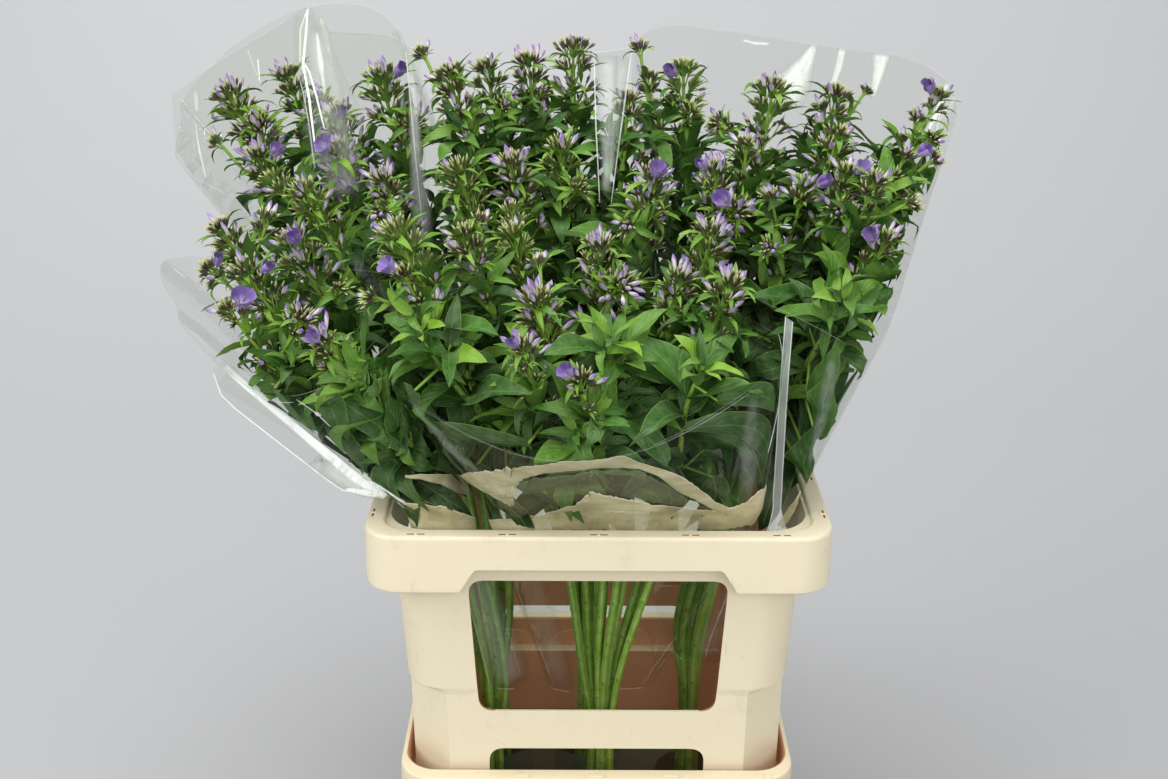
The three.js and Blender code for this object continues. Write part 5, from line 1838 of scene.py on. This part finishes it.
def make_painted_glint():
    """A painted highlight, whitish and faintly glowing, where a fold or a cut edge catches the light;
    on a weld the whitish strip is partly the weld's own colour. Its strength and its softness come
    with each ribbon, and it fades towards its sides and, when it is soft, towards its ends and in
    streaks."""
    material, g = new_material("film_glint", 0.30, 0.5)
    # Painted highlight: a whitish surface with a faint glow of its own.
    g.wear(Base_Color=(0.96, 0.98, 0.97, 1), Metallic=0.15, Emission_Color=(0.94, 0.98, 1.0, 1),
           Emission_Strength=0.20)
    strength, soft, streaky, welded = tint_of(g)
    across, along = place_of(g)
    off = g.times(g.off(across, 0.5), 2.0)
    begin = g.minus(0.98, g.times(soft, 0.95))
    side = g.minus(1.0, g.ramp(off, begin, 1.0))
    end = g.times(g.ramp(along, 0.0, 0.10), g.ramp(along, 1.0, 0.90))
    end = g.plus(g.times(end, soft), g.minus(1.0, soft))
    where = g.where()
    torn = g.ramp(g.noise(where, 75.0, 4.0, 0.6, stretch=(1.0, 1.0, 0.45)), 0.36, 0.58)
    torn = g.plus(g.times(torn, streaky), g.minus(1.0, streaky))
    amount = g.times(g.times(side, end), g.times(torn, strength))
    # A weld's hems get a brighter painted highlight.
    hem = g.times(g.ramp(off, 0.70, 0.86), welded)
    amount = g.plus(amount, g.times(hem, 0.6), clamp=True)
    film_mix(g, amount)
    return material


def make_rim_reflection():
    """A painted reflection of the cream rim in the gathered film: cream, streaked, with a painted
    highlight along its upper fold.
    """
    material, g = new_material("painted_rim_reflection", 0.30, 0.5)
    strength, *_ = tint_of(g)
    up, _ = place_of(g)
    where = g.where()
    streak = g.noise(where, 26.0, 4.0, 0.6, stretch=(1.0, 1.0, 2.4))
    tone = g.ramp(streak, 0.30, 0.70)
    # Painted reflection of the cream rim, with a paler band along the upper fold as a painted highlight.
    colour = g.blend(tone, (0.46, 0.42, 0.23, 1), (0.74, 0.68, 0.43, 1))
    colour = g.blend(g.ramp(up, 0.90, 0.99), colour, (0.86, 0.81, 0.60, 1))
    hole = g.ramp(g.noise(where, 17.0, 3.0, 0.55), 0.30, 0.42)
    hole = g.plus(g.times(hole, 0.35), 0.65)
    foot = g.plus(g.times(g.ramp(up, 0.0, 0.35), 0.2), 0.8)
    amount = g.times(g.times(hole, foot), strength)
    g.wear(Base_Color=colour, Normal=g.bump(streak, 0.35, 0.002))
    film_mix(g, amount)
    return material


FILM = make_film()
GLINT = make_painted_glint()
RIM_REFLECTION = make_rim_reflection()
print("film materials:", FILM.name, GLINT.name, RIM_REFLECTION.name)

# %% [markdown]
# Each entry below is one ribbon of painted highlight: its strength, how soft its sides are, how much
# it breaks up into streaks, a 1 if it is a weld, a whitish strip of its own with painted highlights
# on its hems, and its points. A point is thousandths round and up the sleeve, and the ribbon's width
# there in millimetres. A ribbon lies half a millimetre outside the film.

# %% Painted highlights on folds and welds
RIBBON_GAP = 0.5
PAINTED_GLINTS = {
    "front": [
        (0.85, 0.4, 0.2, [(312, 673, 1.6), (330, 850, 1.8), (372, 1000, 1.4)]),
        (0.3, 0.8, 0.5, [(165, 490, 5), (178, 495, 9), (192, 485, 8), (205, 470, 4)]),
        (0.2, 0.6, 0.4, [(60, 970, 1.4), (110, 985, 1.6), (150, 985, 2), (190, 990, 1.6),
            (250, 985, 1.8), (290, 985, 1.4)]),
        (0.12, 0.9, 0.6, [(85, 550, 14), (80, 780, 20), (75, 980, 12)]),
        (0.1, 0.9, 0.6, [(285, 520, 18), (283, 740, 26), (285, 960, 12)]),
        (0.14, 0.6, 0.4, [(45, 330, 1.2), (55, 180, 1.4), (70, 10, 1.2)]),
        (0.12, 0.6, 0.4, [(300, 330, 1.2), (290, 150, 1.4), (270, 10, 1.2)]),
        (0.03, 0.9, 0.3, [(85, 340, 22), (90, 180, 30), (95, 10, 26)])],
    "front_left": [
        (0.95, 0.8, 0.35, [(12, 970, 3.0), (18, 840, 5), (40, 660, 10), (56, 500, 14), (60, 440, 10)]),
        (1.0, 0.4, 0.1, [(995, 990, 1.6), (12, 800, 1.8), (40, 550, 2.0)]),
        (0.6, 0.5, 0.2, [(225, 985, 1.4), (230, 920, 1.6), (225, 860, 1.3)]),
        (0.45, 0.5, 0.2, [(115, 990, 1.2), (165, 960, 1.4), (215, 975, 1.2)]),
        (0.95, 0.8, 0.5, [(75, 500, 10), (90, 540, 20), (120, 530, 14), (140, 470, 6)]),
        (0.22, 0.6, 0.3, [(222, 240, 1.4), (219, 160, 1.5), (209, 60, 1.4), (205, 10, 1.2)]),
        (0.14, 0.6, 0.4, [(345, 280, 1.2), (335, 140, 1.4), (320, 20, 1.2)]),
        (0.075, 0.95, 0.2, [(265, 350, 34), (270, 180, 46), (275, 10, 40)])],
    "back_left": [
        (1.0, 0.4, 0.0, [(671, 999, 1.8), (689, 976, 2.2), (705, 939, 2.6), (716, 882, 2.6),
            (731, 810, 1.8)]),
        (0.85, 0.4, 0.0, [(702, 945, 1.8), (698, 894, 2.2), (693, 850, 1.6)]),
        (0.45, 0.9, 0.4, [(664, 985, 5), (668, 955, 9), (676, 920, 5)]),
        (0.2, 0.9, 0.5, [(680, 990, 18), (700, 900, 46), (715, 790, 30)]),
        (0.35, 0.6, 0.2, [(713, 920, 1.4), (738, 790, 2.0)]),
        (0.45, 0.6, 0.2, [(944, 970, 2.0), (5, 940, 2.6), (70, 930, 1.6)]),
        (0.55, 0.4, 0.1, [(744, 985, 1.6), (750, 940, 1.6)]),
        (0.4, 0.9, 0.5, [(575, 990, 10), (560, 900, 16), (570, 780, 9)]),
        (0.16, 0.9, 0.6, [(40, 940, 14), (50, 740, 24), (60, 550, 12)]),
        (0.12, 0.9, 0.6, [(220, 960, 14), (230, 800, 24), (240, 620, 12)])],
    "back": [
        (0.5, 0.8, 0.4, [(530, 1000, 5), (528, 960, 5), (524, 900, 3)]),
        (0.28, 0.8, 0.4, [(470, 990, 20), (440, 920, 26), (420, 820, 14)]),
        (0.12, 0.9, 0.6, [(150, 960, 12), (150, 800, 20), (150, 600, 10)])],
    "right": [
        (0.42, 0.1, 0.1, 1, [(26, 985, 11), (31, 833, 11), (36, 718, 11), (41, 624, 11), (47, 527, 11),
            (55, 429, 11), (73, 384, 10), (86, 350, 9)]),
        (0.85, 0.4, 0.1, [(6, 645, 1.6), (16, 604, 1.8), (25, 567, 1.4)]),
        (0.65, 0.5, 0.2, [(560, 985, 1.6), (500, 900, 1.5), (420, 800, 1.6), (350, 660, 1.6),
            (290, 500, 1.4)]),
        (1.0, 0.7, 0.4, [(666.5, 999, 6), (669, 970, 20), (672, 945, 34), (676, 915, 42)]),
        (1.0, 0.6, 0.2, [(668, 990, 3), (672, 960, 8), (677, 930, 10)]),
        (1.0, 0.7, 0.3, [(648, 999, 9), (646, 970, 9), (644, 915, 5)]),
        (1.0, 0.7, 0.3, [(622, 999, 22), (619, 975, 14), (615, 935, 6)]),
        (0.95, 0.7, 0.3, [(555, 999, 9), (549, 970, 11), (545, 925, 5)]),
        (0.8, 0.6, 0.2, [(714, 990, 3), (705, 988, 4), (696, 990, 3)]),
        (0.14, 0.9, 0.6, [(830, 970, 10), (840, 800, 22), (850, 620, 12)]),
        (0.12, 0.9, 0.6, [(100, 950, 12), (120, 780, 18), (130, 600, 10)]),
        (0.26, 0.6, 0.3, [(60, 270, 1.4), (90, 180, 1.5), (135, 80, 1.5), (170, 10, 1.2)]),
        (0.06, 0.95, 0.2, [(110, 340, 30), (130, 180, 40), (150, 10, 34)])],
}


def add_painted_glint(skin, grid, entry):
    """One ribbon of painted highlight on the film."""
    *tint, points = entry
    points = np.array(points) / (1000, 1000, 1)
    points[:, 0] = np.unwrap(points[:, 0], period=1.0)
    at = np.linspace(0, len(points) - 1, 6 * (len(points) - 1) + 1)
    across, along, width = between(at, np.arange(len(points)), points).T
    middle, normal = on_film(grid, across, along)
    way = unit(np.gradient(middle, axis=0))
    side = unit(np.cross(way, normal))
    s = np.linspace(-0.5, 0.5, 5)[None, :, None]
    band = middle[:, None] + s * width[:, None, None] * side[:, None] + RIBBON_GAP * normal[:, None]
    skin.add(band[None] * MM, [tint], GLINT)


# Each of these ribbons is a painted highlight.
print("folds and welds:", sum(len(ribbons) for ribbons in PAINTED_GLINTS.values()))

# %% [markdown]
# Where the film is gathered over the cream rim, a broad patch paints the rim's reflection in it.
# Each entry is one patch: its strength and its points. A point is thousandths round and up on the
# patch's upper edge, and then the same on its lower edge.

# %% Painted reflections of the rim
AREAS = {
    "front": [
        (0.84, [(75, 640, 50, 590), (92, 673, 64, 560), (106, 714, 76, 530), (123, 782, 89, 497),
            (131, 812, 96, 482), (134, 830, 116, 622), (142, 867, 131, 735), (159, 942, 153, 844),
            (173, 995, 169, 898), (191, 997, 188, 925), (206, 996, 202, 901), (212, 915, 211, 864),
            (222, 833, 220, 772), (230, 765, 228, 646), (236, 704, 233, 602), (244, 619, 244, 524),
            (255, 520, 255, 466), (269, 473, 269, 425)]),
        (0.9, [(25, 395, 25, 374), (80, 415, 73, 384), (114, 439, 109, 390), (136, 497, 128, 390),
            (152, 548, 141, 390), (170, 677, 152, 388), (173, 697, 155, 388), (181, 673, 166, 388),
            (189, 636, 178, 388), (202, 592, 195, 388), (208, 558, 203, 388), (228, 510, 228, 390),
            (244, 483, 245, 392), (255, 469, 258, 394), (269, 480, 273, 396), (284, 493, 292, 398),
            (300, 524, 320, 398), (323, 534, 331, 402), (338, 503, 334, 415), (340, 460, 342, 446)]),
        (0.15, [(92, 548, 61, 405), (123, 670, 92, 418), (152, 820, 119, 446), (177, 888, 159, 602),
            (194, 901, 183, 670), (211, 850, 202, 599), (225, 667, 222, 537), (236, 554, 236, 503),
            (253, 470, 253, 459)])],
    "front_left": [
        (0.88, [(261, 622, 255, 612), (297, 609, 286, 592), (341, 568, 320, 544), (375, 524, 341, 490),
            (402, 490, 373, 435)]),
        (0.92, [(58, 440, 56, 400), (90, 463, 70, 380), (181, 483, 87, 376), (266, 473, 194, 376),
            (308, 425, 278, 376), (356, 391, 339, 367)])],
    "right": [
        (0.75, [(85, 430, 85, 380), (120, 500, 120, 380), (160, 480, 160, 385), (200, 430, 200, 390)])],
}


def add_area(skin, grid, strength, points):
    """A broad patch of painted reflection, where gathered film mirrors the cream rim."""
    points = np.array(points) / 1000
    at = np.linspace(0, len(points) - 1, 5 * (len(points) - 1) + 1)
    around, top, around_low, low = between(at, np.arange(len(points)), points).T
    torn = 0.16 * (draw(np.arange(len(at)), 27) - 0.5) * (top - low)
    share = np.linspace(0, 1, 7)
    across = around_low[:, None] + share * (around - around_low)[:, None]
    along = (low - 0.4 * torn)[:, None] + share * (top + torn - low)[:, None]
    place, normal = on_film(grid, across, along)
    skin.add((place + RIBBON_GAP * normal)[None] * MM, [[strength]], RIM_REFLECTION)


print("patches of gathered film:", sum(len(patches) for patches in AREAS.values()))

# %% [markdown]
# Three sleeves have spare film that stands off them: a flap, a flange and a tuck. Each is a sheet
# with a grid of its own, and with ribbons of painted highlight whose points are thousandths of that grid.

# %% The flap
FLAP_FOOT = (0.985, 0.062, 0.125, 0.185, 0.220, 0.285, 0.370)
FLAP_TOP = ((-372, 22, 782), (-335, 24, 808), (-291, 26, 833), (-249, 28, 858), (-232, 26, 836),
            (-184, 22, 834), (-154, 16, 820))
FLAP_PAINTED_GLINTS = (
    (1.0, 0.4, 0.0, [(500, 990, 1.8), (485, 740, 2.4), (520, 550, 2.4), (555, 360, 1.6)]),
    (0.85, 0.4, 0.0, [(492, 740, 1.8), (560, 620, 2.2), (610, 500, 1.6)]),
    (0.4, 0.6, 0.2, [(475, 680, 1.4), (550, 280, 2.0)]),
    (0.55, 0.9, 0.4, [(560, 930, 3), (590, 800, 8), (620, 660, 4)]),
    (0.18, 0.9, 0.5, [(560, 950, 12), (640, 600, 60), (700, 200, 46)]),
    (0.34, 0.8, 0.3, [(950, 960, 4), (955, 550, 16), (965, 250, 30), (970, 40, 36)]),
    (0.6, 0.5, 0.1, [(930, 970, 1.4), (950, 500, 1.4), (975, 60, 1.2)]),
    (0.5, 0.4, 0.1, [(330, 860, 1.6), (345, 720, 1.6)]),
    (0.35, 0.6, 0.2, [(130, 500, 1.6), (180, 220, 2.6), (210, 30, 1.8)]),
    (0.3, 0.8, 0.4, [(100, 860, 5), (120, 700, 9), (130, 600, 5)]))


def flap_grid(grid):
    """The near side of the back left sleeve stands up as a flap in front of its flowers."""
    foot = on_film(grid, np.array(FLAP_FOOT), np.ones(len(FLAP_FOOT)))[0]
    share = np.linspace(0, 1, 40)
    whole = np.linspace(0, 1, len(FLAP_FOOT))
    low, high = between(share, whole, foot), between(share, whole, FLAP_TOP)
    up = np.linspace(0, 1, 16)[:, None, None]
    wave = 2.0 * np.sin(26 * share)[None, :, None] * np.sin(math.pi * up)
    return low + (high - low) * up + wave * np.array([0.0, 1.0, 0.0])


print("points in the flap:", flap_grid(FILM_GRIDS["back_left"]).shape)

# %% [markdown]
# The flange follows its sleeve's weld upward and grows out of it at its lower end. FLANGE_WAY
# says which way and how far it stands out, in millimetres.

# %% The flange
FLANGE_ROUND = 0.030
FLANGE_UP = (0.455, 0.925)
FLANGE_WAY = (-15.0, -3.0, -19.0)
FLANGE_PAINTED_GLINTS = (
    (1.0, 0.6, 0.3, [(20, 340, 18), (100, 280, 18), (350, 220, 13), (600, 160, 10), (970, 100, 7)]),
    (0.85, 0.4, 0.1, [(60, 970, 1.6), (500, 985, 1.5), (990, 985, 1.3)]),
    (0.24, 0.9, 0.4, [(40, 600, 14), (400, 600, 20), (950, 600, 16)]),
    (0.95, 0.6, 0.2, [(50, 900, 6), (120, 860, 8), (200, 900, 4)]),
    (0.16, 0.5, 0.1, [(990, 40, 1.4), (985, 950, 1.4)]))


def flange_grid(grid):
    """The weld down the left side of the front left sleeve stands out as a flat flange."""
    up = np.linspace(*FLANGE_UP, 40)
    root = on_film(grid, np.full(40, FLANGE_ROUND), up)[0]
    grow = np.clip((up - up[0]) / 0.10, 0, 1)[:, None] ** 0.8
    share = np.linspace(0, 1, 6)[:, None, None]
    end = np.sqrt(np.clip((up[-1] - up) / 0.05, 0.25, 1))[:, None]
    return root + share * grow * end * np.array(FLANGE_WAY)


print("points in the flange:", flange_grid(FILM_GRIDS["front_left"]).shape)

# %% [markdown]
# The tuck is given by its left and right edges, from its foot to its top, in millimetres.

# %% The tuck
TUCK_LEFT = ((0, -6, 690), (-4, 2, 757), (-7, 10, 822))
TUCK_RIGHT = ((10, -6, 687), (19, 2, 759), (28, 10, 827))
TUCK_PAINTED_GLINTS = (
    (0.55, 0.5, 0.2, [(40, 980, 1.5), (30, 500, 1.6), (60, 40, 1.2)]),
    (0.6, 0.5, 0.3, [(960, 960, 1.6), (950, 500, 1.8), (900, 30, 1.4)]),
    (0.26, 0.9, 0.5, [(350, 970, 18), (450, 550, 18), (500, 100, 9)]),
    (0.16, 0.9, 0.5, [(750, 950, 12), (750, 450, 10), (700, 150, 5)]))


def tuck_grid():
    """A narrow tuck of the right sleeve's spare film, which stands up at its left side."""
    up = np.linspace(0, 2, 24)
    left, right = between(up, [0, 1, 2], TUCK_LEFT), between(up, [0, 1, 2], TUCK_RIGHT)
    share = np.linspace(0, 1, 6)[None, :, None]
    bow = 3.0 * np.sin(math.pi * share) * np.array([0.0, -1.0, 0.0])
    return left[:, None] + share * (right - left)[:, None] + bow


print("points in the tuck:", tuck_grid().shape)

# %% [markdown]
# A sleeve is put together from its sheet, its ribbons, its patches and its cut edges, in one piece.

# %% Sleeves
def cut_edge(skin, top, below, width, strength):
    """The thin cut edge of a sleeve, as a painted highlight."""
    down = unit(below - top)
    band = np.stack([top, top + width * down], 1)
    bright = strength + 0.17 * draw(np.arange(len(top)) // 9, 6)
    skin.add(band[None] * MM, bright[None, :, None, None], GLINT)


def add_sheet(skin, grid, folds, edge=None):
    """A sheet of film with the painted highlights of its folds, and with its cut edge's painted highlight
    where edge gives a strength.
    """
    skin.add(grid[None] * MM, [[0.0]], FILM)
    for entry in folds:
        add_painted_glint(skin, grid, entry)
    if edge is not None:
        cut_edge(skin, grid[-1], grid[-2], 0.9, edge)


def make_sleeve(bunch):
    """A whole sleeve: film, painted highlights on folds, welds and cut edges, and painted reflections of
    the rim.
    """
    skin = Skin(FILM, GLINT, RIM_REFLECTION)
    name = bunch["name"]
    grid = FILM_GRIDS[name]
    add_sheet(skin, grid, PAINTED_GLINTS[name])
    for strength, points in AREAS.get(name, ()):
        add_area(skin, grid, strength, points)
    if name == "back_left":
        add_sheet(skin, flap_grid(grid), FLAP_PAINTED_GLINTS, 0.02)
    if name == "right":
        add_sheet(skin, tuck_grid(), TUCK_PAINTED_GLINTS, 0.10)
    if name == "front_left":
        add_sheet(skin, flange_grid(grid), FLANGE_PAINTED_GLINTS)
    cut_edge(skin, grid[-1], grid[-2], 0.8, 0.02)
    cut_edge(skin, grid[0], grid[1], 1.2, 0.0)
    piece = skin.piece("film_" + name, ["sleeve_" + name], "clear_film")
    return len(piece.data.polygons)


for bunch in BUNCHES:
    print("faces in the film of", bunch["name"] + ":", make_sleeve(bunch))

# %% [markdown]
